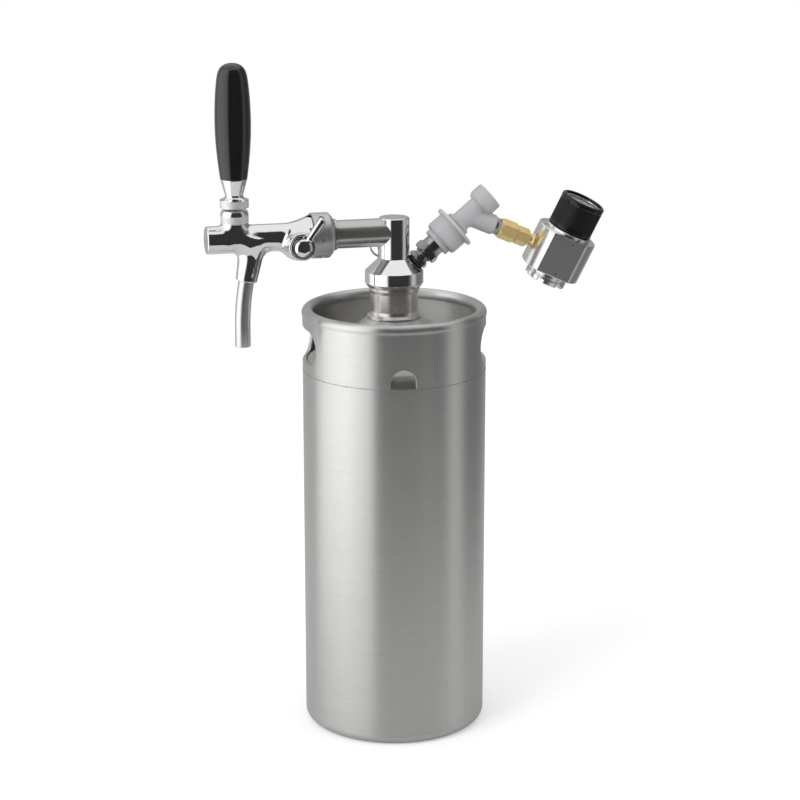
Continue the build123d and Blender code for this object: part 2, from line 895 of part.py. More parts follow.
def bonnet():
    thread_end = bonnet_start + bonnet_thread_length
    ledge = pivot_height + washer_rise
    shoulder = bonnet_start + bonnet_band
    top = shoulder + bonnet_shoulder
    throat = sqrt((ball_radius + running_gap) ** 2 - washer_rise**2)
    funnel = (top - pivot_height) * tan(radians(lever_swing)) + lever_neck_radius / cos(radians(lever_swing))
    bore = bonnet_thread_radius + fixed_gap
    outline = Line((bore, bonnet_start), (bonnet_radius, bonnet_start))
    outline += Line(outline @ 1, (bonnet_radius, shoulder))
    outline += ThreePointArc(outline @ 1, (bonnet_radius - 0.4, shoulder + bonnet_shoulder * 0.6),
                             (bonnet_top_radius, top))
    outline += Line(outline @ 1, (funnel + free_gap, top))
    outline += Line(outline @ 1, (throat + 0.05, ledge))
    outline += Line(outline @ 1, (washer_radius + fixed_gap, ledge))
    outline += Line(outline @ 1, (washer_radius + fixed_gap, thread_end + 0.1))
    outline += Line(outline @ 1, (bore, thread_end + 0.1))
    outline += Line(outline @ 1, outline @ 0)
    return spin(make_face(outline))


def lever_washer():
    low = bonnet_start + bonnet_thread_length + 0.1
    ring = tube(washer_radius, 1, low, pivot_height + washer_rise)
    return ring - Pos(0, 0, pivot_height) * Sphere(ball_radius + running_gap)


def tap_lever():
    tip = Pos(0, 0, pivot_height - lever_arm_length) * Sphere(lever_tip_radius)
    arm = rod(lever_arm_radius, pivot_height - lever_arm_length, pivot_height)
    ball = Pos(0, 0, pivot_height) * Sphere(ball_radius)
    neck = rod(lever_neck_radius, pivot_height, handle_collar_top + lever_thread_length)
    return tip + arm + ball + neck


def handle_collar():
    band_top = handle_collar_low + handle_collar_band
    bore = lever_neck_radius + fixed_gap
    outline = Line((bore, handle_collar_low), (handle_collar_radius - 0.5, handle_collar_low))
    outline += Line(outline @ 1, (handle_collar_radius, handle_collar_low + 0.8))
    outline += Line(outline @ 1, (handle_collar_radius, band_top))
    outline += ThreePointArc(outline @ 1, (ferrule_low_radius + 1.2, band_top + 1.1),
                             (ferrule_low_radius, handle_collar_top))
    outline += Line(outline @ 1, (bore, handle_collar_top))
    outline += Line(outline @ 1, outline @ 0)
    # the hollow underside follows a sphere about the lever's pivot, so the handle can lean over the bonnet
    reach = sqrt((bonnet_start + bonnet_band - pivot_height) ** 2 + bonnet_radius**2)
    hollow = Pos(0, 0, pivot_height) * Sphere(reach + 3 * free_gap)
    return spin(make_face(outline)) - hollow


def handle_ferrule():
    bore = lever_neck_radius + fixed_gap
    thread_end = handle_collar_top + lever_thread_length + 0.5
    return turned(
        (bore, handle_collar_top),
        (ferrule_low_radius, handle_collar_top),
        (ferrule_top_radius, ferrule_top),
        (0, ferrule_top),
        (0, thread_end),
        (bore, thread_end),
    )


def handle_grip():
    low = ferrule_top
    top = low + grip_length
    outline = Line((0, low), (grip_low_radius, low))
    outline += Spline(outline @ 1, (grip_radius, low + grip_widest),
                      (grip_shoulder_radius, low + grip_shoulder), (0, top),
                      tangents=[(0.25, 1), (-1, 0)])
    outline += Line(outline @ 1, outline @ 0)
    return spin(make_face(outline))


# flow control
def crank_place():
    # the crank pin lies off the hub's axis, crank_angle past straight up, towards the column
    return crank_offset * cos(radians(crank_angle)), -crank_offset * sin(radians(crank_angle))


def flow_hub():
    crank_x, crank_y = crank_place()
    dish_floor = flow_boss_end - flow_dish_depth
    outline = Line((0, flow_shaft_start), (flow_shaft_radius, flow_shaft_start))
    outline += Line(outline @ 1, (flow_shaft_radius, dish_floor + 0.1))
    outline += Line(outline @ 1, (flow_hub_radius, dish_floor + 0.1))
    outline += Line(outline @ 1, (flow_hub_radius, flow_hub_end - 2.2))
    outline += ThreePointArc(outline @ 1, (flow_hub_radius - 0.9, flow_hub_end - 0.6),
                             (flow_hub_radius - 3, flow_hub_end))
    outline += Line(outline @ 1, (0, flow_hub_end))
    outline += Line(outline @ 1, outline @ 0)
    hub = spin(make_face(outline))
    hub += Pos(crank_x, crank_y, 0) * rod(crank_radius, crank_end, flow_shaft_start + crank_radius)
    socket = rod(flow_lever_root_radius + fixed_gap, flow_lever_floor, 2 * flow_hub_radius)
    return hub - lever_direction() * socket


def lever_direction():
    # Z along the lever's rod, out from the hub's axis
    return Pos(0, 0, flow_lever_height) * Rot(0, 0, flow_lever_angle - 90) * Rot(0, 90, 0)


def flow_lever():
    tip = flow_lever_reach - flow_lever_tip_radius
    lever = cone(flow_lever_root_radius, flow_lever_tip_radius, flow_hub_radius, tip)
    lever += rod(flow_lever_root_radius, flow_lever_floor + fixed_gap, flow_hub_radius)
    lever += Pos(0, 0, tip) * Sphere(flow_lever_tip_radius)
    return lever_direction() * lever


def compensator():
    end = compensator_start + compensator_length
    plug = cone(compensator_root_radius, compensator_nose_radius, compensator_start, end)
    crank_x, crank_y = crank_place()
    width = 2 * (crank_radius + crank_slot_gap)
    reach = 4 * compensator_root_radius
    slot = Box(2 * crank_offset + width, reach, width, align=(Align.CENTER, Align.MAX, Align.CENTER))
    slot_floor = crank_slot_depth_gap - crank_end
    return plug - Pos(crank_x - flow_drop, slot_floor, flow_position + crank_y) * slot


# gas post
def post_washer():
    return tube(post_washer_radius, port_spigot_radius + fixed_gap, 0, post_washer_thickness)


def post_adapter():
    hex_part = hex_nut(adapter_hex, adapter_hex_start, adapter_neck_start)
    stem = rod(port_spigot_radius, -port_spigot_depth, adapter_hex_start)
    neck = rod(adapter_neck_radius, adapter_neck_start, post_start)
    thread = rod(adapter_thread_radius, post_start, post_start + adapter_thread_length)
    return hex_part + stem + neck + thread - rod(adapter_bore_radius, -post_end, post_end)


def gas_post():
    hex_end = post_start + post_hex_length
    barrel = turned(
        (0, hex_end),
        (post_radius, hex_end),
        (post_radius, post_end - post_edge),
        (post_radius - post_edge, post_end),
        (0, post_end),
    )
    post = hex_nut(post_hex, post_start, hex_end) + barrel
    post -= rod(adapter_thread_radius + fixed_gap, 0, post_thread_end)
    post -= rod(post_bore_radius, post_thread_end - post_edge, post_lid_low)
    post -= rod(post_lid_bore_radius, 0, 2 * post_end)
    ring_room = post_ring_wire + free_gap / 2
    groove_floor = post_ring_centre() - post_ring_wire - 2 * fixed_gap
    groove_low = post_ring_position - ring_room
    post -= tube(2 * post_radius, groove_floor, groove_low, post_ring_position + ring_room)
    ball_groove = Torus(ball_circle_radius, ball_radius_lock + 2 * fixed_gap)
    return post - Pos(0, 0, ball_groove_position) * ball_groove


def post_ring_centre():
    return disconnect_bore_radius - running_gap - post_ring_wire


def post_ring():
    return Pos(0, 0, post_ring_position) * Torus(post_ring_centre(), post_ring_wire)


def post_poppet():
    low = poppet_top - poppet_head_length
    head = turned(
        (0, low),
        (poppet_radius, low),
        (poppet_radius, poppet_top - poppet_bevel),
        (poppet_radius - poppet_bevel, poppet_top),
        (0, poppet_top),
    )
    return head + rod(poppet_pin_radius, low - poppet_tail_length, pin_end)


def post_spring():
    outer = poppet_radius - poppet_spring_margin
    return tube(outer, outer - poppet_spring_wire, poppet_spring_start, poppet_top - poppet_head_length)


# gas disconnect
def side_arm_outside():
    spigot_end = side_arm_length + side_spigot_length
    return turned(
        (0, 0),
        (side_arm_radius, 0),
        (side_arm_radius, side_arm_length - side_arm_bevel),
        (side_arm_radius - side_arm_bevel, side_arm_length),
        (side_spigot_radius, side_arm_length),
        (side_spigot_radius, spigot_end - side_arm_bevel),
        (side_spigot_radius - side_arm_bevel, spigot_end),
        (0, spigot_end),
    )


def disconnect_body():
    head_edge = disconnect_head_start + disconnect_head_chamfer
    body = turned(
        (0, disconnect_start),
        (barrel_radius, disconnect_start),
        (barrel_radius, stop_ring_start),
        (stop_ring_radius, stop_ring_start),
        (stop_ring_radius, sleeve_end),
        (collar_radius, sleeve_end),
        (collar_radius, collar_end - collar_bevel),
        (neck_tube_radius, collar_end + collar_bevel),
        (neck_tube_radius, disconnect_head_start),
        (disconnect_head_radius, head_edge),
        (disconnect_head_radius, disconnect_end - disconnect_edge),
        (disconnect_head_radius - disconnect_edge, disconnect_end),
        (0, disconnect_end),
    )
    side = Pos(0, 0, side_arm_position) * Rot(0, side_arm_angle, 0)
    body += side * side_arm_outside()
    body -= rod(disconnect_bore_radius, 0, post_end + post_headroom)
    body -= rod(post_lid_bore_radius, post_end, disconnect_end)
    body -= rod(cavity_radius, cavity_start, disconnect_end)
    body -= rod(screw_cap_radius + fixed_gap, screw_cap_floor, 2 * disconnect_end)
    body -= side * rod(side_bore_radius, 0, regulator_distance)
    hole = rod(ball_radius_lock + 2 * fixed_gap, cavity_radius, 2 * barrel_radius)
    hole = Pos(0, 0, ball_groove_position) * Rot(0, 90, 0) * hole
    for index in range(ball_count):
        body -= Rot(0, 0, 360 / ball_count * index) * hole
    return body


def locking_balls():
    ball = Pos(ball_circle_radius, 0, ball_groove_position) * Sphere(ball_radius_lock)
    return Compound([Rot(0, 0, 360 / ball_count * index) * ball for index in range(ball_count)])


def disconnect_sleeve():
    upper_bore = stop_ring_radius + free_gap
    flange_low = sleeve_end - sleeve_flange_width
    return turned(
        (sleeve_recess_radius, sleeve_start),
        (sleeve_radius, sleeve_start),
        (sleeve_radius, flange_low),
        (sleeve_flange_radius - sleeve_edge, flange_low),
        (sleeve_flange_radius, flange_low + sleeve_edge),
        (sleeve_flange_radius, sleeve_end - sleeve_edge),
        (sleeve_flange_radius - sleeve_edge, sleeve_end),
        (upper_bore, sleeve_end),
        (upper_bore, sleeve_land_end),
        (sleeve_land_radius, sleeve_land_end),
        (sleeve_land_radius, sleeve_land_start),
        (sleeve_recess_radius, sleeve_land_start),
    )


def sleeve_spring():
    inner = barrel_radius + free_gap / 2
    return tube(inner + sleeve_spring_wire, inner, sleeve_land_end, stop_ring_start)


def disconnect_pin():
    head_low = cavity_start + pin_lift
    head_top = head_low + pin_head_length
    head = rod(pin_head_radius, head_low, head_top)
    return head + rod(pin_rod_radius, pin_end, head_top + pin_tail_length)


def disconnect_spring():
    low = cavity_start + pin_lift + pin_head_length
    inner = pin_rod_radius + pin_spring_room
    return tube(inner + pin_spring_wire, inner, low, screw_cap_floor)


def disconnect_cap():
    cap = rod(screw_cap_radius, screw_cap_floor, disconnect_end - screw_cap_sink)
    slot_length = 2 * screw_cap_radius - screw_slot_margin
    return cap - Pos(0, 0, disconnect_end) * Box(slot_length, screw_slot_width, 2 * screw_slot_depth)


# brass connection
def flare_washer():
    outer = side_arm_radius - side_arm_bevel
    inner = side_spigot_radius + fixed_gap
    return tube(outer, inner, side_arm_length, side_arm_length + flare_washer_thickness)


def swivel_nut():
    nut = hex_nut(swivel_hex, swivel_start, swivel_end)
    nut -= rod(side_spigot_radius + free_gap, 0, swivel_end - swivel_flange)
    return nut - rod(fitting_neck_radius + free_gap, 0, regulator_distance)


def flare_fitting():
    fitting = rod(flare_head_radius, fitting_start, fitting_start + flare_head_length)
    fitting += rod(fitting_neck_radius, fitting_start, fitting_tail)
    fitting += hex_nut(fitting_hex, fitting_hex_start, fitting_hex_end)
    return fitting - rod(fitting_bore_radius, 0, regulator_distance)


# regulator
def regulator_body():
    edge = regulator_chamfer
    body = turned(
        (0, -regulator_top),
        (regulator_radius - edge, -regulator_top),
        (regulator_radius, edge - regulator_top),
        (regulator_radius, regulator_top - edge),
        (regulator_radius - edge, regulator_top),
        (0, regulator_top),
    )
    for side in (0, 180):
        shaving = Box(3 * regulator_radius, regulator_radius, 2 * regulator_height)
        place = Rot(0, 0, flat_turn + side) * Pos(0, -regulator_flat - regulator_radius / 2, 0)
        body -= place * shaving
    spigot_top = port_ring_spigot - regulator_top
    body -= rod(diaphragm_radius + fixed_gap, diaphragm_floor, regulator_height)
    body -= rod(gas_channel_radius, -regulator_height, 0)
    body -= rod(port_ring_spigot_radius + fixed_gap, -regulator_height, spigot_top)
    body -= rod(piercer_radius + fixed_gap, -regulator_height, spigot_top + piercer_length)
    socket_floor = regulator_radius - fitting_tail_depth
    inlet = rod(fitting_neck_radius + fixed_gap, socket_floor, 2 * regulator_radius)
    inlet += Pos(-gas_channel_drop, 0, 0) * rod(fitting_bore_radius, 0, socket_floor + gas_channel_drop)
    return body - Rot(0, -90, 0) * inlet


def diaphragm():
    return rod(diaphragm_radius, diaphragm_floor, diaphragm_floor + diaphragm_thickness)


def diaphragm_plate():
    low = diaphragm_floor + diaphragm_thickness
    guide = plate_radius - spring_wire - plate_guide_margin
    return rod(plate_radius, low, low + plate_thickness) + rod(guide, low, low + plate_guide_height)


def regulator_bonnet():
    low = diaphragm_floor + diaphragm_thickness
    lid_low = bonnet_neck_top - bonnet_lid
    neck_bore = bonnet_neck_radius - bonnet_neck_wall
    return turned(
        (diaphragm_radius - bonnet_skirt_wall, low),
        (diaphragm_radius, low),
        (diaphragm_radius, regulator_top),
        (bonnet_flange_radius - bonnet_flange_edge, regulator_top),
        (bonnet_flange_radius, regulator_top + bonnet_flange_edge),
        (bonnet_flange_radius, bonnet_flange_top - bonnet_flange_edge),
        (bonnet_flange_radius - bonnet_flange_edge, bonnet_flange_top),
        (bonnet_neck_radius, bonnet_flange_top),
        (bonnet_neck_radius, bonnet_neck_top),
        (screw_radius + running_gap, bonnet_neck_top),
        (screw_radius + running_gap, lid_low),
        (neck_bore, lid_low),
        (neck_bore, regulator_top),
        (diaphragm_radius - bonnet_skirt_wall, regulator_top - 2),
    )


def spring_seat():
    low = spring_seat_top - spring_seat_thickness
    return tube(spring_seat_radius, screw_radius + free_gap, low, spring_seat_top)


def regulating_spring():
    outer = plate_radius - free_gap
    low = diaphragm_floor + diaphragm_thickness + plate_thickness
    return tube(outer, outer - spring_wire, low, spring_seat_top - spring_seat_thickness)


def adjusting_screw():
    collar_top = bonnet_neck_top - bonnet_lid - 2 * fixed_gap
    screw = rod(screw_radius, screw_low_end, knob_web_top)
    return screw + rod(screw_collar_radius, collar_top - screw_collar_length, collar_top)


def adjuster_knob():
    groove = knob_radius - knob_groove_depth
    low_groove = knob_low + knob_bottom_band
    high_groove = knob_top - knob_top_band
    recess = knob_radius - knob_wall_top
    return turned(
        (bonnet_neck_radius + free_gap, knob_low),
        (knob_radius - knob_low_bevel, knob_low),
        (knob_radius, knob_low + knob_low_bevel),
        (knob_radius, low_groove),
        (groove, low_groove),
        (groove, low_groove + knob_groove_width),
        (knob_radius, low_groove + knob_groove_width),
        (knob_radius, high_groove - knob_groove_width),
        (groove, high_groove - knob_groove_width),
        (groove, high_groove),
        (knob_radius, high_groove),
        (knob_radius, knob_top - knob_bevel),
        (knob_radius - knob_bevel, knob_top),
        (recess, knob_top),
        (recess, knob_web_top),
        (screw_radius + fixed_gap, knob_web_top),
        (screw_radius + fixed_gap, knob_web_low),
        (bonnet_neck_radius + free_gap, knob_web_low),
    )


def gauge_dial():
    radius = knob_radius - knob_wall_top - fixed_gap
    rim = tube(radius, radius - dial_rim, dial_low, dial_low + dial_rim_height)
    spindle = rod(spindle_radius, dial_low, dial_face + needle_height + 2 * needle_thickness)
    return rod(radius, dial_low, dial_face) + rim + spindle


def gauge_needle():
    low = dial_face + needle_height
    top = low + needle_thickness
    bore = spindle_radius + running_gap
    half = needle_width / 2
    tail = -needle_tail_length
    outline = Polygon((tail, half), (tail, -half), (0, -half), (needle_reach, 0), (0, half), align=None)
    pointer = Pos(0, 0, low) * extrude(outline, needle_thickness)
    return Rot(0, 0, needle_angle) * (pointer + rod(needle_hub_radius, low, top) - rod(bore, 0, 2 * top))


def gauge_lens():
    radius = knob_radius - knob_wall_top - dial_rim - 2 * fixed_gap
    top = dial_low + dial_rim_height
    return rod(radius, top - lens_thickness, top)


# cartridge port
def cartridge_adapter():
    face = -regulator_top
    low = face - port_ring_height
    floor = low + port_socket_depth
    groove = face - port_groove_drop
    ring = turned(
        (port_thread_radius, face + port_ring_spigot),
        (port_ring_spigot_radius, face + port_ring_spigot),
        (port_ring_spigot_radius, face),
        (port_ring_radius, face),
        (port_ring_radius, groove),
        (port_ring_radius - port_groove_depth, groove),
        (port_ring_radius - port_groove_depth, groove - port_groove_width),
        (port_ring_radius, groove - port_groove_width),
        (port_ring_radius, low + port_ring_bevel),
        (port_ring_radius - port_ring_bevel, low),
        (port_socket_radius, low),
        (port_socket_radius, floor),
        (port_boss_radius, floor),
        (port_boss_radius, floor - port_boss_drop),
        (port_thread_radius, floor - port_boss_drop),
    )
    notch_length = 3 * (port_ring_radius - port_socket_radius)
    notch = Pos(port_ring_radius, 0, low) * Box(notch_length, port_notch_width, 2 * port_notch_depth)
    for index in range(port_notch_count):
        ring -= Rot(0, 0, 360 / port_notch_count * index) * notch
    return ring


def piercing_pin():
    low = port_ring_spigot - regulator_top
    seat = low + adapter_seal_thickness
    base = rod(piercer_radius, seat, low + piercer_length)
    tip = cone(piercer_point, piercer_tip, low, seat)
    return base + tip - rod(piercer_bore_radius, seat + piercer_floor, regulator_top)


def adapter_seal():
    low = port_ring_spigot - regulator_top
    return tube(piercer_radius, piercer_tip + free_gap, low, low + adapter_seal_thickness)


# relief valve
def relief_body():
    body = hex_nut(relief_hex, post_washer_thickness, relief_hex_end)
    body += rod(post_washer_radius, 0, post_washer_thickness)
    body += rod(port_spigot_radius, -port_spigot_depth, 0)
    body += rod(relief_body_radius, relief_hex_end, relief_body_end)
    body += turned(
        (0, relief_body_end),
        (relief_cap_radius, relief_body_end),
        (relief_cap_radius, relief_cap_end - relief_cap_bevel),
        (relief_cap_radius - relief_cap_bevel, relief_cap_end),
        (0, relief_cap_end),
    )
    body -= rod(relief_bore_radius, relief_floor, relief_body_end)
    body -= rod(relief_vent_radius, -2 * port_spigot_depth, relief_body_end)
    return body - rod(relief_stem_radius + running_gap, relief_floor, relief_stem_end)


def relief_seal():
    return rod(relief_disc_radius - free_gap, relief_floor, relief_floor + relief_seal_thickness)


def relief_stem():
    disc_low = relief_floor + relief_seal_thickness
    stem = rod(relief_disc_radius, disc_low, disc_low + relief_disc_thickness)
    stem += rod(relief_stem_radius, disc_low, relief_stem_end)
    return stem - Pos(0, 0, relief_eye) * Rot(90, 0, 0) * Cylinder(relief_eye_radius, 6 * relief_stem_radius)


def relief_spring():
    low = relief_floor + relief_seal_thickness + relief_disc_thickness
    outer = relief_bore_radius - free_gap
    return tube(outer, outer - relief_spring_wire, low, relief_body_end)


def relief_ring():
    tilt = radians(port_tilt)
    out = port_seat_radial + relief_eye * cos(tilt)
    up = port_seat_height + relief_eye * sin(tilt)
    hoop = Rot(0, 90, 0) * Torus(pull_ring_radius, pull_ring_wire)
    return Rot(0, 0, head_turn + 90) * Pos(out, 0, up - pull_ring_radius) * hoop


keg_pieces = {
    "keg_shell": keg_shell,
    "keg_shoulder": keg_shoulder,
    "keg_neck": keg_neck,
    "keg_collar": keg_collar,
    "neck_gasket": neck_gasket,
    "dip_tube": dip_tube,
    "dip_tube_ring": dip_tube_ring,
    "relief_ring": relief_ring,
}
head_pieces = {
    "dispenser_cap": dispenser_cap,
    "riser_column": riser_column,
}
tap_pieces = {
    "shank_tube": shank_tube,
    "coupling_nut": coupling_nut,
    "faucet_washer": faucet_washer,
    "faucet_body": faucet_body,
    "valve_shaft": valve_shaft,
    "valve_seal": valve_seal,
    "compensator": compensator,
}
lever_pieces = {
    "bonnet": bonnet,
    "lever_washer": lever_washer,
    "tap_lever": tap_lever,
    "handle_collar": handle_collar,
    "handle_ferrule": handle_ferrule,
    "handle_grip": handle_grip,
}
flow_pieces = {
    "flow_hub": flow_hub,
    "flow_lever": flow_lever,
}
gas_pieces = {
    "post_washer": post_washer,
    "post_adapter": post_adapter,
    "gas_post": gas_post,
    "post_ring": post_ring,
    "post_poppet": post_poppet,
    "post_spring": post_spring,
    "disconnect_body": disconnect_body,
    "locking_balls": locking_balls,
    "disconnect_sleeve": disconnect_sleeve,
    "sleeve_spring": sleeve_spring,
    "disconnect_pin": disconnect_pin,
    "disconnect_spring": disconnect_spring,
    "disconnect_cap": disconnect_cap,
}
arm_pieces = {
    "flare_washer": flare_washer,
    "swivel_nut": swivel_nut,
    "flare_fitting": flare_fitting,
}
regulator_pieces = {
    "regulator_body": regulator_body,
    "diaphragm": diaphragm,
    "diaphragm_plate": diaphragm_plate,
    "regulator_bonnet": regulator_bonnet,
    "spring_seat": spring_seat,
    "regulating_spring": regulating_spring,
    "adjusting_screw": adjusting_screw,
    "adjuster_knob": adjuster_knob,
    "gauge_dial": gauge_dial,
    "gauge_needle": gauge_needle,
    "gauge_lens": gauge_lens,
    "cartridge_adapter": cartridge_adapter,
    "piercing_pin": piercing_pin,
    "adapter_seal": adapter_seal,
}
relief_pieces = {
    "relief_body": relief_body,
    "relief_seal": relief_seal,
    "relief_stem": relief_stem,
    "relief_spring": relief_spring,
}

assembly = [
    (Pos(0, 0, 0), keg_pieces),
    (head_frame, head_pieces),
    (tap_frame, tap_pieces),
    (spout_frame, {"spout_tube": spout_tube}),
    (lever_frame, lever_pieces),
    (flow_frame, flow_pieces),
    (gas_frame, gas_pieces),
    (arm_frame, arm_pieces),
    (regulator_frame, regulator_pieces),
    (relief_frame, relief_pieces),
]

os.makedirs("parts", exist_ok=True)
for frame, pieces in assembly:
    for name, make in pieces.items():
        export_step(frame * make(), f"parts/{name}.step")
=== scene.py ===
import bpy
import bmesh
import numpy as np
from math import acos, atan2, cos, degrees, pi, radians, sin, sqrt, tan
from mathutils import Matrix, Vector


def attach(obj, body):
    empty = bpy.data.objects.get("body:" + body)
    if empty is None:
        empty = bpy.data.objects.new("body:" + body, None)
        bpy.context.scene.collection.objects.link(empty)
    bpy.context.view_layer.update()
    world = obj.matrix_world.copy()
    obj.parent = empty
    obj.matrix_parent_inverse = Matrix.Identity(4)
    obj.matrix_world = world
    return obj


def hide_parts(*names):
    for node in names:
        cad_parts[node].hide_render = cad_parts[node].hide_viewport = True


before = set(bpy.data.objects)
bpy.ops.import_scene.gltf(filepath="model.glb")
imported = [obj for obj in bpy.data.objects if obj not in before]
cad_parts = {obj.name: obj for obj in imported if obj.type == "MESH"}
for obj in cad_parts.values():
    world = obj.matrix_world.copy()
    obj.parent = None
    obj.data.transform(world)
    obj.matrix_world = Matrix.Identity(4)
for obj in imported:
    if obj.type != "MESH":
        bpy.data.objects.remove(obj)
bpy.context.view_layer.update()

print("frame loaded:", len(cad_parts), "pieces from the model")
mm = 0.001

# camera, at the height and distance the product was photographed from
shot = {
    "place": (-169.07, -1649.49, 689.47),   # millimetres
    "looksAlong": (0.1009, 0.9604, -0.2598),
    "lens": 105.84,
}
cameraData = bpy.data.cameras.new("productCamera")
cameraData.lens = shot["lens"]
cameraData.sensor_width = 36
cameraData.clip_end = 50
camera = bpy.data.objects.new("productCamera", cameraData)
camera.location = Vector(shot["place"]) * mm
camera.rotation_mode = "QUATERNION"
camera.rotation_quaternion = Vector(shot["looksAlong"]).to_track_quat("-Z", "Y")
bpy.context.scene.collection.objects.link(camera)
bpy.context.scene.camera = camera
bpy.context.scene.view_settings.view_transform = "Standard"


class Wire:
    # one output of a shader node, written into sums like a number
    def __init__(self, finish, plug):
        self.finish = finish
        self.plug = plug

    def sums(self, operation, *values):
        return self.finish.node("ShaderNodeMath", {"operation": operation}, dict(enumerate(values)))

    def __add__(self, other):
        return self.sums("ADD", self, other)

    def __radd__(self, other):
        return self.sums("ADD", other, self)

    def __sub__(self, other):
        return self.sums("SUBTRACT", self, other)

    def __rsub__(self, other):
        return self.sums("SUBTRACT", other, self)

    def __mul__(self, other):
        return self.sums("MULTIPLY", self, other)

    def __rmul__(self, other):
        return self.sums("MULTIPLY", other, self)

    def __truediv__(self, other):
        return self.sums("DIVIDE", self, other)

    def __rtruediv__(self, other):
        return self.sums("DIVIDE", other, self)

    def __mod__(self, other):
        return self.sums("FLOORED_MODULO", self, other)

    def __neg__(self):
        return self.sums("MULTIPLY", self, -1.0)

    def __abs__(self):
        return self.sums("ABSOLUTE", self)


class Finish:
    # a node tree of a material, or of the world, with one way to add nodes
    def __init__(self, name, holder=None):
        self.material = holder or bpy.data.materials.new(name)
        self.material.use_nodes = True
        self.tree = self.material.node_tree
        self.surface = self.tree.nodes.get("Principled BSDF")

    def node(self, kind, settings=None, feeds=None, output=0):
        made = self.tree.nodes.new(kind)
        for name, value in (settings or {}).items():
            if name == "stops":
                self.rampStops(made, value)
            else:
                setattr(made, name, value)
        for name, value in (feeds or {}).items():
            self.feed(made.inputs[name], value)
        return Wire(self, made.outputs[output])

    def rampStops(self, ramp, stops):
        points = ramp.color_ramp.elements
        while len(points) < len(stops):
            points.new(0.5)
        for point, (place, tone) in zip(points, stops):
            point.position = place
            point.color = (tone, tone, tone, 1) if isinstance(tone, (int, float)) else (*tone, 1)

    def feed(self, socket, value):
        if isinstance(value, Wire):
            self.tree.links.new(value.plug, socket)
        elif isinstance(value, (int, float)) or len(value) == len(socket.default_value):
            socket.default_value = value
        else:
            socket.default_value = (*value, 1)

    def set(self, **sockets):
        names = {key: key[0].upper() + "".join(" " + c if c.isupper() else c for c in key[1:]) for key in sockets}
        for key, value in sockets.items():
            self.feed(self.surface.inputs[names[key].replace("Ior", "IOR")], value)
        return self.material

    def place(self, stretch=(1, 1, 1)):
        # position on the piece in millimetres, stretched along each axis
        where = self.node("ShaderNodeTexCoord", output=3)
        scale = tuple(1000 * part for part in stretch)
        return self.node("ShaderNodeVectorMath", {"operation": "MULTIPLY"}, {0: where, 1: scale})

    def part(self, vector, axis):
        return self.node("ShaderNodeSeparateXYZ", None, {0: vector}, "XYZ".index(axis))

    def noise(self, stretch, detail=2.0, roughness=0.5):
        return self.node("ShaderNodeTexNoise", {"noise_dimensions": "3D"},
                         {"Vector": self.place(stretch), "Scale": 1.0, "Detail": detail, "Roughness": roughness})

    def tinted(self, shade, green=1, blue=1):
        # a grey with its green and blue held back by a share
        return self.node("ShaderNodeCombineColor", None, {0: shade, 1: shade if green == 1 else shade * green,
                                                          2: shade if blue == 1 else shade * blue})

    def ramp(self, value, low, high, fromValue=0.0, toValue=1.0):
        return self.node("ShaderNodeMapRange", {"clamp": True, "interpolation_type": "SMOOTHSTEP"},
                         {"Value": value, "From Min": low, "From Max": high, "To Min": fromValue, "To Max": toValue})

    def blend(self, share, first, second):
        # colours by share, as Mix does it
        return self.node("ShaderNodeMix", {"data_type": "RGBA"}, {0: share, 6: first, 7: second}, 2)

    def bump(self, height, depth, strength=1.0):
        return self.node("ShaderNodeBump", None, {"Height": height, "Distance": depth * mm, "Strength": strength})


# studio: pale floor, white surround, dark side behind the camera for the metal to show
studio = {
    "surround": 0.86,
    "floorTone": 0.58,
    "floorSeen": 0.80,   # how white the camera sees the paper, before its lift to the white round it
    "floorLift": 0.24,
    "floorSides": 0.45,   # metres from the keg's axis to the edges of the paper
    "floorFront": 0.56,
    "floorRear": 1.5,
    "ceiling": 0.96,
    "ceilingLean": 12,   # degrees that the overhead panel lies behind the object
    "ceilingHalf": 42,   # degrees from its middle to its edge
    "cameraAzimuth": -6.0,
    # what stands round the object: degrees to the right of the camera, and how bright it is
    "panels": ((-180, 0.42), (-150, 0.44), (-117, 0.52), (-107, 1.10), (-88, 1.42), (-62, 1.62), (-48, 1.42),
               (-38, 1.28), (-29, 1.05), (-21, 0.035), (58, 0.035), (68, 0.17), (78, 0.54), (90, 0.48), (102, 0.17),
               (130, 0.18), (155, 0.32), (180, 0.42)),
}


def buildWorld():
    world = bpy.data.worlds.new("studio")
    bpy.context.scene.world = world
    sky = Finish("studio", world)
    way = sky.node("ShaderNodeTexCoord", output=0)
    east, south, up = sky.part(way, "X"), -sky.part(way, "Y"), sky.part(way, "Z")
    turn = sky.node("ShaderNodeMath", {"operation": "ARCTAN2"}, {0: east, 1: south}) / (2 * pi)
    turn = (turn + 0.5 - studio["cameraAzimuth"] / 360) % 1.0
    stops = [(angle / 360 + 0.5, tone / 2) for angle, tone in studio["panels"]]
    around = sky.node("ShaderNodeValToRGB", {"stops": stops}, {0: turn}) * 2.0
    overhead = up * cos(radians(studio["ceilingLean"])) - south * sin(radians(studio["ceilingLean"]))
    roof = sky.ramp(overhead, cos(radians(studio["ceilingHalf"] + 5)), cos(radians(studio["ceilingHalf"] - 5)))
    glossy = around * (1 - roof) + studio["ceiling"] * roof
    seen = sky.node("ShaderNodeLightPath", output=0)
    shiny = sky.node("ShaderNodeLightPath", output=3)
    through = sky.node("ShaderNodeLightPath", output=6)
    shine = sky.node("ShaderNodeMath", {"operation": "MAXIMUM"}, {0: shiny, 1: through})
    level = studio["surround"] * (1 - shine) + glossy * shine
    level = level * (1 - seen) + seen
    background = sky.tree.nodes["Background"]
    background.inputs["Color"].default_value = (1, 1, 1, 1)
    sky.feed(background.inputs["Strength"], level)


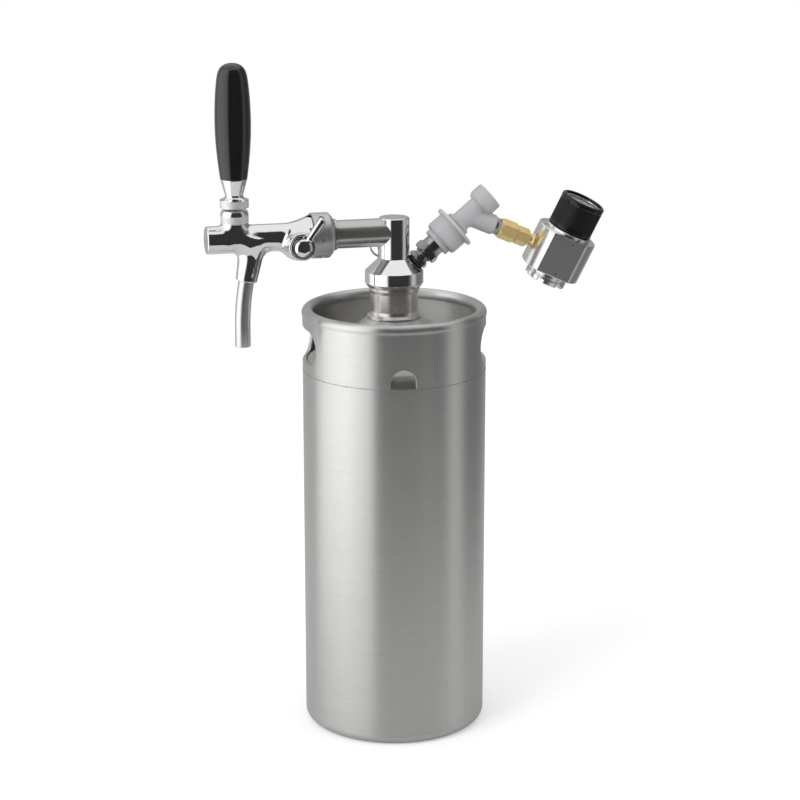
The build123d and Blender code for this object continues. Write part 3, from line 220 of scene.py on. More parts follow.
def buildFloor():
    mesh = bpy.data.meshes.new("floor")
    side, front, rear = studio["floorSides"], -studio["floorFront"], studio["floorRear"]
    mesh.from_pydata([(-side, front, 0), (side, front, 0), (side, rear, 0), (-side, rear, 0)], [], [(0, 1, 2, 3)])
    floor = bpy.data.objects.new("floor", mesh)
    bpy.context.scene.collection.objects.link(floor)
    paper = Finish("paleFloor")
    tone = studio["floorTone"]
    seen = paper.node("ShaderNodeLightPath", output=0)
    colour = paper.blend(seen, (tone, tone, tone), (studio["floorSeen"],) * 3)
    matte = paper.node("ShaderNodeBsdfDiffuse", None, {"Color": colour})
    glow = paper.node("ShaderNodeEmission", None, {"Color": (1, 1, 1), "Strength": seen * studio["floorLift"]})
    both = paper.node("ShaderNodeAddShader", None, {0: matte, 1: glow})
    paper.tree.links.new(both.plug, paper.tree.nodes["Material Output"].inputs["Surface"])
    mesh.materials.append(paper.material)


def softbox(name, place, target, width, height, power):
    lampData = bpy.data.lights.new(name, "AREA")
    lampData.shape = "RECTANGLE"
    lampData.size = width
    lampData.size_y = height
    lampData.energy = power
    lamp = bpy.data.objects.new(name, lampData)
    lamp.location = place
    lamp.rotation_mode = "QUATERNION"
    lamp.rotation_quaternion = (Vector(target) - Vector(place)).to_track_quat("-Z", "Y")
    lamp.visible_glossy = False   # the metal shows the studio's own panels
    bpy.context.scene.collection.objects.link(lamp)


buildWorld()
buildFloor()
softbox("keySoftbox", (-1.6, -1.3, 1.7), (0, 0, 0.25), 1.4, 1.4, 26)
softbox("fillSoftbox", (1.9, -0.8, 1.2), (0, 0, 0.3), 1.2, 1.6, 9)
print("studio built")


# finishes
def kegSteel():
    # brushed round the keg: hair lines, longer scratches and a slow cloudiness
    steel = Finish("kegSteel")
    hair = steel.noise((0.06, 0.06, 5.5), 3.0, 0.6)
    scratch = steel.noise((0.05, 0.05, 1.9), 4.0, 0.7)
    band = steel.noise((0.02, 0.02, 0.3), 2.0, 0.6)
    cloud = steel.noise((0.03, 0.03, 0.03), 2.0)
    tone = 0.49 + 0.10 * hair + 0.16 * scratch + 0.04 * band + 0.04 * cloud
    colour = steel.tinted(tone, 0.995, 0.98)
    rough = 0.24 + 0.10 * hair + 0.10 * scratch + 0.05 * cloud
    lines = steel.bump(hair * 0.5 + scratch, 0.02, 0.35)
    return steel.set(baseColor=colour, metallic=1.0, roughness=rough, normal=lines,
                     anisotropic=0.9, anisotropicRotation=0.25)


def kegInsideSteel():
    steel = Finish("kegInsideSteel")
    hair = steel.noise((0.06, 0.06, 2.5), 3.0, 0.6)
    cloud = steel.noise((0.05, 0.05, 0.05), 3.0)
    tone = 0.50 + 0.12 * hair + 0.08 * cloud
    colour = steel.tinted(tone, 0.99, 0.97)
    return steel.set(baseColor=colour, metallic=1.0, roughness=0.3 + 0.15 * cloud, normal=steel.bump(hair, 0.02, 0.4),
                     anisotropic=0.5, anisotropicRotation=0.25)


def mirrorSteel(name="mirrorSteel", tone=0.86, rough=0.06, ripple=0.0):
    # polished metal: clean, with a trace of wiping marks, and a ripple on cast pieces
    steel = Finish(name)
    marks = steel.noise((0.12, 0.12, 0.12), 4.0, 0.6)
    fine = steel.noise((0.9, 0.9, 0.9), 3.0, 0.6)
    shade = tone - 0.05 * marks
    colour = steel.tinted(shade, 0.995, 0.99)
    wave = steel.bump(steel.noise((0.11, 0.11, 0.11), 1.0), 1.0, ripple) if ripple else None
    sockets = dict(baseColor=colour, metallic=1.0,
                   roughness=rough + 0.05 * steel.ramp(marks, 0.45, 0.75) + 0.02 * fine)
    if wave:
        sockets["normal"] = wave
    return steel.set(**sockets)


def turnedSteel(name="turnedSteel", tone=0.62, rough=0.2):
    # lathe-turned satin: fine rings about the piece's own axis
    steel = Finish(name)
    ring = steel.noise((0.02, 0.02, 7.0), 3.0, 0.6)
    cloud = steel.noise((0.1, 0.1, 0.1), 2.0)
    shade = tone * (0.86 + 0.22 * ring) - 0.04 * cloud
    colour = steel.tinted(shade, 0.985, 0.96)
    return steel.set(baseColor=colour, metallic=1.0, roughness=rough + 0.1 * ring, normal=steel.bump(ring, 0.02, 0.5),
                     anisotropic=0.8, anisotropicRotation=0.25)


def satinSteel(name="satinSteel", tone=0.5, rough=0.3):
    # small hard fittings: dense fine grain with darker handling marks
    steel = Finish(name)
    grain = steel.noise((3.0, 3.0, 3.0), 4.0, 0.7)
    marks = steel.noise((0.35, 0.35, 0.35), 3.0, 0.6)
    shade = tone * (0.8 + 0.25 * grain) - 0.1 * tone * marks
    colour = steel.tinted(shade, 0.98, 0.955)
    return steel.set(baseColor=colour, metallic=1.0, roughness=rough + 0.15 * grain,
                     normal=steel.bump(grain, 0.015, 0.5))


def couplingSteel():
    # the nut's finish: fine slanting hatch over a grey satin, the hatch also painted into the colour as painted shade
    # in its grooves and painted highlight on its ridges
    steel = Finish("couplingSteel")
    where = steel.place()
    turn = steel.node("ShaderNodeMath", {"operation": "ARCTAN2"},
                      {0: steel.part(where, "Y"), 1: steel.part(where, "X")})
    along = steel.part(where, "Z")
    first = abs((turn * (16.3 * 0.45) + along * 0.5) % 1.0 - 0.5)
    second = abs((turn * (16.3 * 0.9) - along * 1.0) % 1.0 - 0.5)
    hatch = first * 1.5 + second * 0.5
    grain = steel.noise((1.1, 1.1, 1.1), 4.0, 0.7)
    # painted shade and highlight: the colour is darker in the hatch's grooves and lighter on its ridges
    shade = 0.22 + 0.28 * grain + 0.44 * hatch
    colour = steel.tinted(shade, 0.99, 0.975)
    return steel.set(baseColor=colour, metallic=0.9, roughness=0.34 + 0.16 * grain,
                     normal=steel.bump(hatch * 0.8 + grain * 0.4, 0.12, 0.7))


def knurlSteel():
    # bright dull points of the knurl
    steel = Finish("knurlSteel")
    grain = steel.noise((1.4, 1.4, 1.4), 4.0, 0.7)
    shade = 0.62 + 0.30 * grain
    colour = steel.tinted(shade, 1, 0.985)
    return steel.set(baseColor=colour, metallic=0.7, roughness=0.42 + 0.16 * grain,
                     normal=steel.bump(grain, 0.06, 0.6))


def gripPlastic():
    # hard black handle, polished, with faint upright streaks from the buff
    plastic = Finish("gripPlastic")
    streak = plastic.noise((0.9, 0.9, 0.04), 3.0)
    dust = plastic.noise((1.5, 1.5, 1.5), 4.0, 0.7)
    shade = 0.006 + 0.004 * streak
    colour = plastic.tinted(shade, 1, 1.1)
    rough = 0.10 + 0.08 * streak + 0.04 * plastic.ramp(dust, 0.6, 0.75)
    return plastic.set(baseColor=colour, roughness=rough, specularIorLevel=0.5, coatWeight=0.4, coatRoughness=0.05)


def mouldedPlastic(name, base, rough=0.42):
    # injection moulding: slight flow clouding and a fine even texture
    plastic = Finish(name)
    cloud = plastic.noise((0.09, 0.09, 0.09), 3.0)
    pore = plastic.noise((3.2, 3.2, 3.2), 3.0, 0.6)
    deep = tuple(0.9 * part for part in base)
    colour = plastic.blend(cloud, base, deep)
    return plastic.set(baseColor=colour, roughness=rough + 0.08 * pore, normal=plastic.bump(pore, 0.02, 0.35))


def fittingBrass():
    # machined brass with turning rings and small dark freckles
    brass = Finish("fittingBrass")
    ring = brass.noise((0.15, 0.15, 6.0), 3.0, 0.6)
    freckle = brass.ramp(brass.noise((1.3, 1.3, 1.3), 4.0, 0.7), 0.62, 0.76)
    worn = brass.noise((0.25, 0.25, 0.25), 3.0)
    bright = brass.blend(worn, (0.88, 0.69, 0.31), (0.79, 0.59, 0.25))
    colour = brass.blend(freckle * 0.4, bright, (0.42, 0.29, 0.12))
    return brass.set(baseColor=colour, metallic=0.6, roughness=0.3 + 0.1 * ring + 0.1 * freckle,
                     normal=brass.bump(ring, 0.02, 0.4))


def regulatorMetal():
    metal = Finish("regulatorMetal")
    ring = metal.noise((0.03, 0.03, 5.0), 3.0, 0.6)
    cloud = metal.noise((0.1, 0.1, 0.1), 3.0)
    shade = 0.78 + 0.06 * ring - 0.04 * cloud
    colour = metal.tinted(shade, 1, 0.99)
    return metal.set(baseColor=colour, metallic=1.0, roughness=0.17 + 0.06 * ring,
                     normal=metal.bump(ring, 0.015, 0.4),
                     anisotropic=0.5, anisotropicRotation=0.25)


def regulatorFlat():
    # the milled flats are blasted: dark grey grain, with bright specks painted into the colour as painted glints
    metal = Finish("regulatorFlat")
    grain = metal.noise((2.2, 2.2, 2.2), 5.0, 0.8)
    # painted glints: bright specks in the colour where the blasted grain would glint
    paintedGlint = metal.ramp(metal.noise((4.5, 4.5, 4.5), 2.0), 0.62, 0.72)
    shade = 0.25 + 0.09 * grain + 0.16 * paintedGlint
    colour = metal.tinted(shade, 0.985, 0.985)
    return metal.set(baseColor=colour, metallic=0.85, roughness=0.42 + 0.15 * grain,
                     normal=metal.bump(grain, 0.04, 0.6))


def knobPlastic(name="knobPlastic", rough=0.34, specular=0.25):
    plastic = Finish(name)
    grain = plastic.noise((1.8, 1.8, 1.8), 4.0, 0.7)
    shade = 0.004 + 0.005 * grain
    colour = plastic.tinted(shade, 1, 1.1)
    return plastic.set(baseColor=colour, roughness=rough + 0.12 * grain, normal=plastic.bump(grain, 0.02, 0.3),
                       specularIorLevel=specular)


def sealRubber():
    rubber = Finish("sealRubber")
    grain = rubber.noise((2.5, 2.5, 2.5), 4.0, 0.7)
    shade = 0.018 + 0.02 * grain
    colour = rubber.tinted(shade)
    return rubber.set(baseColor=colour, roughness=0.62 + 0.2 * grain, normal=rubber.bump(grain, 0.03, 0.5))


def dialMetal():
    # pale dial with a fine spun finish
    metal = Finish("dialMetal")
    where = metal.place()
    turn = metal.node("ShaderNodeMath", {"operation": "ARCTAN2"},
                      {0: metal.part(where, "Y"), 1: metal.part(where, "X")})
    ray = metal.node("ShaderNodeTexNoise", {"noise_dimensions": "1D"},
                     {"W": turn * 30.0, "Scale": 1.0, "Detail": 3.0})
    shade = 0.62 + 0.22 * ray
    colour = metal.tinted(shade, 1, 0.985)
    return metal.set(baseColor=colour, metallic=0.1, roughness=0.36 + 0.1 * ray)


# dark print of the dial marks and needle; the same dark also paints the shade of the two pits on the regulator's flat
def dialInkAndPitShade():
    ink = Finish("dialInkAndPitShade")
    grain = ink.noise((6.0, 6.0, 6.0), 2.0)
    shade = 0.02 + 0.02 * grain
    return ink.set(baseColor=ink.tinted(shade), roughness=0.5)


def lensGlass():
    glass = Finish("lensGlass")
    smear = glass.noise((0.3, 0.3, 0.3), 3.0)
    return glass.set(baseColor=(1.0, 1.0, 1.0), roughness=0.02 + 0.05 * smear, transmissionWeight=1.0, ior=1.45)


finishes = {
    "keg": kegSteel(),
    "kegInside": kegInsideSteel(),
    "mirror": mirrorSteel(),
    "cast": mirrorSteel("castMirrorSteel", 0.84, 0.05, 0.25),
    "tube": turnedSteel("spoutSteel", 0.76, 0.26),
    "turned": turnedSteel("turnedSteel", 0.62, 0.31),
    "neck": turnedSteel("neckSteel", 0.7, 0.24),
    "fitting": satinSteel("fittingSteel", 0.44, 0.13),
    "spring": satinSteel("springSteel", 0.6, 0.25),
    "coupling": couplingSteel(),
    "knurl": knurlSteel(),
    "weld": satinSteel("weldSteel", 0.5, 0.28),
    "knobSmooth": knobPlastic("knobSmoothPlastic", 0.16, 0.35),
    "grip": gripPlastic(),
    "disconnect": mouldedPlastic("disconnectPlastic", (0.42, 0.42, 0.435), 0.3),
    "flange": mouldedPlastic("flangePlastic", (0.49, 0.475, 0.46), 0.34),
    "plug": mouldedPlastic("plugPlastic", (0.8, 0.8, 0.77)),
    "brass": fittingBrass(),
    "regulator": regulatorMetal(),
    "flat": regulatorFlat(),
    "knob": knobPlastic(),
    "rubber": sealRubber(),
    "dial": dialMetal(),
    "ink": dialInkAndPitShade(),
    "lens": lensGlass(),
}

carriedOver = {
    "keg": ["keg_shell", "keg_collar"],
    "kegInside": ["keg_shoulder"],
    "neck": ["keg_neck"],
    "mirror": ["dispenser_cap", "riser_column", "bonnet", "flow_hub", "flow_lever", "handle_collar", "handle_ferrule",
               "tap_lever", "valve_shaft"],
    "turned": ["shank_tube", "dip_tube"],
    "cast": ["faucet_body"],
    "tube": ["spout_tube"],
    "fitting": ["post_adapter", "gas_post", "relief_body", "relief_stem", "relief_ring"],
    "spring": ["post_poppet", "post_spring", "locking_balls", "sleeve_spring", "disconnect_pin", "disconnect_spring",
               "diaphragm_plate", "regulating_spring", "spring_seat", "adjusting_screw", "piercing_pin",
               "relief_spring"],
    "coupling": ["coupling_nut"],
    "grip": ["handle_grip"],
    "disconnect": ["disconnect_body", "disconnect_sleeve", "disconnect_cap"],
    "plug": ["compensator", "lever_washer"],
    "brass": ["swivel_nut", "flare_fitting"],
    "regulator": ["regulator_body", "regulator_bonnet", "cartridge_adapter"],
    "knob": ["adjuster_knob"],
    "rubber": ["neck_gasket", "dip_tube_ring", "post_ring", "faucet_washer", "valve_seal", "post_washer",
               "relief_seal",
               "diaphragm", "adapter_seal", "flare_washer"],
    "dial": ["gauge_dial"],
    "ink": ["gauge_needle"],
    "lens": ["gauge_lens"],
}
for finishName, nodeNames in carriedOver.items():
    for nodeName in nodeNames:
        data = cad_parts[nodeName].data
        data.materials.clear()
        data.materials.append(finishes[finishName])
print("finishes laid on the carried-over pieces")



# where the pieces stand, in the keg's frame; Z runs along each piece's own axis
def turnAbout(axis, angle):
    return Matrix.Rotation(radians(angle), 4, axis)


def shift(x, y, z):
    return Matrix.Translation(Vector((x, y, z)) * mm)


stand = {
    "headTurn": 8.0,
    "armHeight": 368.2,
    "portTilt": 39.6,
    "portLineFoot": 332.7,
    "portSeatDepth": 0.5,
    "capRadius": 21.06,
    "capBandTop": 340.1,
    "capTop": 349.6,
    "columnRadius": 11.0,
    "sideArmPosition": 51.6,
    "sideArmAngle": 63.0,
    "regulatorDistance": 75.0,
    "regulatorRoll": 10.0,
}
coneShare = (stand["capRadius"] - stand["columnRadius"]) / (stand["capTop"] - stand["capBandTop"])
portSlope = tan(radians(stand["portTilt"]))
bandRise = stand["capBandTop"] - stand["portLineFoot"]
portRadial = (stand["capRadius"] + bandRise * coneShare) / (1 + portSlope * coneShare)
seatRadial = portRadial - stand["portSeatDepth"] * cos(radians(stand["portTilt"]))
seatHeight = stand["portLineFoot"] + seatRadial * portSlope


def portPlace(azimuth):
    turned = turnAbout("Z", stand["headTurn"] + azimuth)
    return turned @ shift(seatRadial, 0, seatHeight) @ turnAbout("Y", 90 - stand["portTilt"])


kegPlace = Matrix.Identity(4)
headPlace = turnAbout("Z", stand["headTurn"])
tapPlace = headPlace @ shift(0, 0, stand["armHeight"]) @ turnAbout("Y", -90)
leverPlace = headPlace @ shift(-115.6, 0, stand["armHeight"])
flowPlace = tapPlace @ shift(-4, 0, 71) @ turnAbout("X", 90)
gasPlace = portPlace(0)
reliefPlace = portPlace(90)
armPlace = gasPlace @ shift(0, 0, stand["sideArmPosition"]) @ turnAbout("Y", stand["sideArmAngle"])
regulatorPlace = (armPlace @ shift(0, 0, stand["regulatorDistance"]) @ turnAbout("Z", stand["regulatorRoll"])
                  @ turnAbout("Y", -90))


# ways to make a piece
def setPiece(name, mesh, place, body, nodes):
    piece = bpy.data.objects.new(name, mesh)
    bpy.context.scene.collection.objects.link(piece)
    piece.matrix_world = place
    bpy.context.view_layer.update()
    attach(piece, body)
    if nodes:
        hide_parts(*nodes)
    return piece


def addPiece(name, mesh, place, finish, body, nodes=(), sharp=32, slots=()):
    for used in (finish, *slots):
        mesh.materials.append(finishes[used])
    mesh.shade_smooth()
    mesh.set_sharp_from_angle(angle=radians(sharp))
    return setPiece(name, mesh, place, body, nodes)


def evenNormals(piece):
    # large faces keep their own direction beside a small rounding
    even = piece.modifiers.new("evenNormals", "WEIGHTED_NORMAL")
    even.keep_sharp = True
    even.weight = 90
    return piece


def eased(corners, rounding=0.3, steps=3):
    # rounds every corner of a closed outline; a corner's third number is its own rounding
    line = []
    count = len(corners)
    for index, corner in enumerate(corners):
        here = Vector(corner[:2])
        before = Vector(corners[index - 1][:2])
        after = Vector(corners[(index + 1) % count][:2])
        size = corner[2] if len(corner) > 2 else rounding
        toBefore, toAfter = before - here, after - here
        if size <= 0 or here.x <= 1e-6 or toBefore.length < 1e-6 or toAfter.length < 1e-6:
            line.append(tuple(here))
            continue
        half = toBefore.angle(toAfter) / 2
        if half > radians(86):
            line.append(tuple(here))
            continue
        reach = min(size / tan(half), 0.45 * toBefore.length, 0.45 * toAfter.length)
        radius = reach * tan(half)
        middle = here + (toBefore.normalized() + toAfter.normalized()).normalized() * (radius / sin(half))
        start = here + toBefore.normalized() * reach - middle
        end = here + toAfter.normalized() * reach - middle
        sweep = start.angle_signed(end)
        parts = max(1, min(steps + 3, int(abs(sweep) / radians(24)) + 1))
        for step in range(parts + 1):
            spot = start.copy()
            spot.rotate(Matrix.Rotation(-sweep * step / parts, 2))
            line.append(tuple(middle + spot))
    return line


def revolve(name, outlineAt, around):
    # outlineAt gives the closed outline of (radius, height) at each angle about Z, in millimetres
    points, faces = [], []
    for step in range(around):
        angle = 2 * pi * step / around
        outline = outlineAt(angle)
        points += [(radius * cos(angle) * mm, radius * sin(angle) * mm, height * mm) for radius, height in outline]
    count = len(outline)
    for step in range(around):
        other = (step + 1) % around
        for index in range(count):
            after = (index + 1) % count
            faces.append((step * count + index, other * count + index, other * count + after, step * count + after))
    return tidyMesh(name, points, faces)


def spunMesh(name, outline, around=96, warp=None):
    # warp moves a point of the outline at its angle
    if warp:
        return revolve(name, lambda angle: [warp(angle, *point) for point in outline], around)
    return revolve(name, lambda angle: outline, around)


def tidyMesh(name, points, faces):
    mesh = bpy.data.meshes.new(name)
    mesh.from_pydata(points, [], faces)
    work = bmesh.new()
    work.from_mesh(mesh)
    bmesh.ops.remove_doubles(work, verts=work.verts, dist=1e-7)
    bmesh.ops.dissolve_degenerate(work, edges=work.edges, dist=1e-8)
    bmesh.ops.recalc_face_normals(work, faces=work.faces)
    work.to_mesh(mesh)
    work.free()
    return mesh


def spun(name, corners, place, finish, body, nodes=(), around=96, rounding=0.3, warp=None, sharp=32):
    mesh = spunMesh(name, eased(corners, rounding), around, warp)
    return evenNormals(addPiece(name, mesh, place, finish, body, nodes, sharp))


def hexOutline(angle, flats, low, high, bore):
    # one slice through a nut whose corners are turned down at 45 degrees
    reach = flats / 2 / cos((angle % (pi / 3)) - pi / 6)
    cut = reach - flats / 2
    return [(bore, low), (flats / 2 - 0.25, low), (reach, low + cut + 0.02), (reach, high - cut - 0.02),
            (flats / 2 - 0.25, high), (bore, high)]


def hexMesh(name, flats, low, high, bore, around=144):
    return revolve(name, lambda angle: hexOutline(angle, flats, low, high, bore), around)


def ladder(band):
    # points up a straight wall, close enough for a knurl
    rise = band["high"] - band["low"]
    count = max(2, int(round(rise / band["step"])))
    return [(band["radius"], band["low"] + rise * index / count, 0) for index in range(count + 1)]


def knurlWarp(band):
    # crossed slanting grooves that leave small pyramids
    low, high, radius, teeth = band["low"], band["high"], band["radius"], band["teeth"]
    cell = 2 * pi * radius / teeth

    def warp(angle, r, z):
        if abs(r - radius) > 0.02 or z < low or z > high:
            return r, z
        turn = angle * teeth / (2 * pi)
        climb = (z - low) / cell
        first = abs((turn + climb) % 1.0 - 0.5) * 2
        second = abs((turn - climb) % 1.0 - 0.5) * 2
        fade = min(1.0, (z - low) / 0.5, (high - z) / 0.5)
        return r - band["depth"] * max(first, second) * fade, z

    return warp


def smoothMin(a, b, size):
    share = np.clip(0.5 + 0.5 * (b - a) / size, 0, 1)
    return b * (1 - share) + a * share - size * share * (1 - share)


def smoothMax(a, b, size):
    return -smoothMin(-a, -b, size)


def skinMesh(name, field, low, high, cell):
    # the zero surface of a distance field, in millimetres, with its exact normals
    axes = [np.arange(low[k], high[k] + cell, cell) for k in range(3)]
    grid = np.stack(np.meshgrid(*axes, indexing="ij"), -1)
    value = field(grid)
    inside = value < 0
    shape = np.array(inside.shape) - 1
    total = np.zeros((*shape, 3))
    hits = np.zeros(shape)

    def corner(values, x, y, z):
        return values[x:x + shape[0], y:y + shape[1], z:z + shape[2]]

    for axis in range(3):
        step = [0, 0, 0]
        step[axis] = 1
        for first in (0, 1):
            for second in (0, 1):
                start = [0, 0, 0]
                start[(axis + 1) % 3], start[(axis + 2) % 3] = first, second
                end = [start[k] + step[k] for k in range(3)]
                va, vb = corner(value, *start), corner(value, *end)
                cross = (va < 0) != (vb < 0)
                share = np.where(cross, va / np.where(cross, va - vb, 1), 0)[..., None]
                pa, pb = corner(grid, *start), corner(grid, *end)
                total += np.where(cross[..., None], pa + (pb - pa) * share, 0)
                hits += cross
    used = hits > 0
    number = -np.ones(shape, int)
    number[used] = np.arange(used.sum())
    points = total[used] / hits[used][:, None]
    faces = []
    for axis in range(3):
        one, two = (axis + 1) % 3, (axis + 2) % 3
        lowSide = [slice(1, -1)] * 3
        lowSide[axis] = slice(0, -1)
        highSide = list(lowSide)
        highSide[axis] = slice(1, None)
        change = inside[tuple(lowSide)] != inside[tuple(highSide)]
        where = np.argwhere(change)
        offset = np.ones(3, int)
        offset[axis] = 0
        where = where + offset
        flip = inside[tuple(where.T)]

        def at(*back):
            spot = where.copy()
            spot[:, list(back)] -= 1
            return number[tuple(spot.T)]

        quad = np.stack([at(one, two), at(two), at(), at(one)], 1)
        quad = np.where(flip[:, None], quad, quad[:, ::-1])
        faces.append(quad)
    faces = np.concatenate(faces)

    def slope(spots, reach=0.02):
        parts = []
        for k in range(3):
            push = np.zeros(3)
            push[k] = reach
            parts.append(field(spots + push) - field(spots - push))
        return np.stack(parts, -1) / (2 * reach)

    for _ in range(5):
        lean = slope(points)
        length = np.maximum((lean ** 2).sum(-1, keepdims=True), 0.05)
        points = points - np.clip(field(points)[:, None] / length, -0.4, 0.4) * lean
    normals = slope(points)
    normals /= np.maximum(np.linalg.norm(normals, axis=1, keepdims=True), 1e-9)
    mesh = bpy.data.meshes.new(name)
    mesh.from_pydata((points * mm).tolist(), [], faces.tolist())
    mesh.update()
    return mesh, normals


def addSkin(name, field, low, high, cell, place, finish, body, nodes=()):
    mesh, normals = skinMesh(name, field, low, high, cell)
    mesh.materials.append(finishes[finish])
    mesh.shade_smooth()
    mesh.normals_split_custom_set_from_vertices(normals.tolist())
    return setPiece(name, mesh, place, body, nodes)


# keg
keg = {
    "radius": 66.5,
    "wall": 1.2,
    "seam": 268.4,
    "beadMiddle": (62.9, 309.9),
    "beadRadius": 4.1,
    "steps": 192,
    "footRound": 7.0,
    "wallTop": 306.0,
    "wallFoot": 268.7,
    "slotMiddle": 288.0,
    "slotReach": 18.2,
    "slotHalf": 12.0,
    "slotLip": 1.7,
    "slotDepth": 3.0,
    "notchHalf": 9.0,
    "notchSpring": 273.2,
    "notchEdge": 0.35,
}
footTurns = [radians(turn) for turn in range(0, 91, 6)]


def footArc(wall):
    # the drawn corner between the foot and the side, on the outside or one wall further in
    centre, reach = keg["radius"] - keg["footRound"], keg["footRound"] - wall
    return [(centre + reach * sin(turn), keg["footRound"] - reach * cos(turn), 0) for turn in footTurns]


spun("kegShellDrawn",
     [(0, 5), (49.75, 5, 4), (54.75, 0, 4)] + footArc(0)
     + [(keg["radius"], 268.3, 0.35), (keg["radius"] - keg["wall"], 268.3, 0.1)]
     + footArc(keg["wall"])[::-1] + [(55.25, 1.2, 2.0), (50.25, 6.2, 2.8), (0, 6.2)],
     kegPlace, "keg", "keg", ["keg_shell"], around=keg["steps"])


def onWall(turn, height, radius):
    return (radius * cos(turn) * mm, radius * sin(turn) * mm, height * mm)


def weave(points, faces, rows, ring=False):
    # joins rows of equally many points side by side
    for first, second in zip(rows, rows[1:]):
        base = len(points)
        count = len(first)
        points.extend(first)
        points.extend(second)
        for index in range(count if ring else count - 1):
            after = (index + 1) % count
            faces.append((base + index, base + after, base + count + after, base + count + index))


def beadProfile():
    # up the wall, round the rolled bead and back inside it to the wall
    outer, inner = keg["radius"], keg["radius"] - keg["wall"]
    x, z = keg["beadMiddle"]
    line = [(outer, keg["wallTop"]), (outer, 307.0), (outer + 0.02, 307.6)]
    line += [(x + keg["beadRadius"] * cos(radians(a)), z + keg["beadRadius"] * sin(radians(a)))
             for a in range(-22, 271, 12)]
    small = keg["beadRadius"] - keg["wall"]
    line += [(x + small * cos(radians(a)), z + small * sin(radians(a))) for a in range(262, -23, -24)]
    return line + [(inner, 307.6), (inner, keg["wallTop"])]


def slotRay(turn, height):
    # from the outer wall over the curled lip of a hand slot and back along the inner wall
    arc = turn * keg["radius"]
    root = max(-keg["slotReach"], min(keg["slotReach"], arc))
    away = Vector((arc - root, height - keg["slotMiddle"]))
    full = away.length
    away.normalize()
    lip, wall, half = keg["slotLip"], keg["wall"], keg["slotHalf"]
    line = [(half + lip + (full - half - lip) * share, 0) for share in (1, 0.6, 0.3, 0.1, 0)]
    line += [(half + lip * (1 - sin(radians(a))), lip * (1 - cos(radians(a)))) for a in range(15, 91, 15)]
    line += [(half, keg["slotDepth"] - 0.3), (half + 0.3, keg["slotDepth"]), (half + wall - 0.3, keg["slotDepth"]),
             (half + wall, keg["slotDepth"] - 0.3)]
    line += [(half + lip - 0.5 * sin(radians(a)), lip - 0.5 * cos(radians(a))) for a in range(90, -1, -30)]
    line += [(half + lip + (full - half - lip) * share, wall) for share in (0.1, 0.5, 1)]
    return [((root + away.x * far) / keg["radius"], keg["slotMiddle"] + away.y * far, keg["radius"] - deep)
            for far, deep in line]


def notchRay(turn, height):
    arc = turn * keg["radius"]
    half, edge, wall = keg["notchHalf"], keg["notchEdge"], keg["wall"]
    root = Vector((0, min(keg["notchSpring"], height)))
    away = Vector((arc, height)) - root
    full = away.length
    away.normalize()
    line = [(half + edge + (full - half - edge) * share, 0) for share in (1, 0.6, 0.3, 0.1, 0)]
    line += [(half + edge * (1 - sin(radians(a))), edge * (1 - cos(radians(a)))) for a in (30, 60, 90)]
    line += [(half + edge * (1 - sin(radians(a))), wall - edge * (1 - cos(radians(a)))) for a in (90, 60, 30, 0)]
    line += [(half + edge + (full - half - edge) * share, wall) for share in (0.3, 1)]
    return [((root.x + away.x * far) / keg["radius"], root.y + away.y * far, keg["radius"] - deep)
            for far, deep in line]


def collarMesh():
    points, faces = [], []
    step = 2 * pi / keg["steps"]
    whole = [step * index for index in range(keg["steps"])]
    weave(points, faces, [[onWall(turn, z, r) for turn in whole] for r, z in beadProfile()], ring=True)
    outer, inner = keg["radius"], keg["radius"] - keg["wall"]
    heights = [keg["wallTop"] + (keg["wallFoot"] - keg["wallTop"]) * index / 10 for index in range(11)]
    foot = [(outer - 0.1, 268.49), (outer - 0.3, keg["seam"]), (inner, keg["seam"])]
    side = [(outer, z) for z in heights] + foot + [(inner, z) for z in reversed(heights)]
    for quarter in range(4):
        slotted = quarter % 2 == 0
        start = quarter * keg["steps"] // 4 + (18 if slotted else 6)
        turns = [step * (start + index) for index in range(25)]
        weave(points, faces, [[onWall(turn, z, r) for turn in turns] for r, z in side])
    for middle in (0, pi):
        span = [step * index for index in range(-18, 19)]
        edge = [(turn, heights[-1]) for turn in span] + [(span[-1], z) for z in reversed(heights[:-1])]
        edge += [(turn, heights[0]) for turn in reversed(span[:-1])] + [(span[0], z) for z in heights[1:]]
        rays = [[onWall(turn + middle, z, r) for turn, z, r in slotRay(*spot)] for spot in edge]
        weave(points, faces, rays)
        bottom = [(outer, heights[-1])] + foot + [(inner, heights[-1])]
        weave(points, faces, [[onWall(turn + middle, z, r) for turn in span] for r, z in bottom])
    for middle in (pi / 2, -pi / 2):
        span = [step * index for index in range(-6, 7)]
        low = [keg["seam"]] + heights[::-1]
        edge = [(span[0], z) for z in low] + [(turn, heights[0]) for turn in span[1:-1]]
        edge += [(span[-1], z) for z in low[::-1]]
        weave(points, faces, [[onWall(turn + middle, z, r) for turn, z, r in notchRay(*spot)] for spot in edge])
    return tidyMesh("kegCollarPressed", points, faces)


evenNormals(addPiece("kegCollarPressed", collarMesh(), kegPlace, "keg", "keg", ["keg_collar"], sharp=50))


seamWeld = {"radius": 66.38, "height": 268.38, "halfWidth": 0.3, "halfHeight": 0.26, "steps": 384}


def seamWarp(angle, r, z):
    # the weld wanders a little and swells now and then
    swell = 1 + 0.35 * sin(41 * angle) * sin(17 * angle + 1) + 0.2 * sin(113 * angle)
    drift = 0.10 * sin(7 * angle + 0.4) + 0.06 * sin(29 * angle) + 0.04 * sin(67 * angle)
    middle, height = seamWeld["radius"], seamWeld["height"]
    return middle + (r - middle) * swell, height + (z - height) * swell + drift


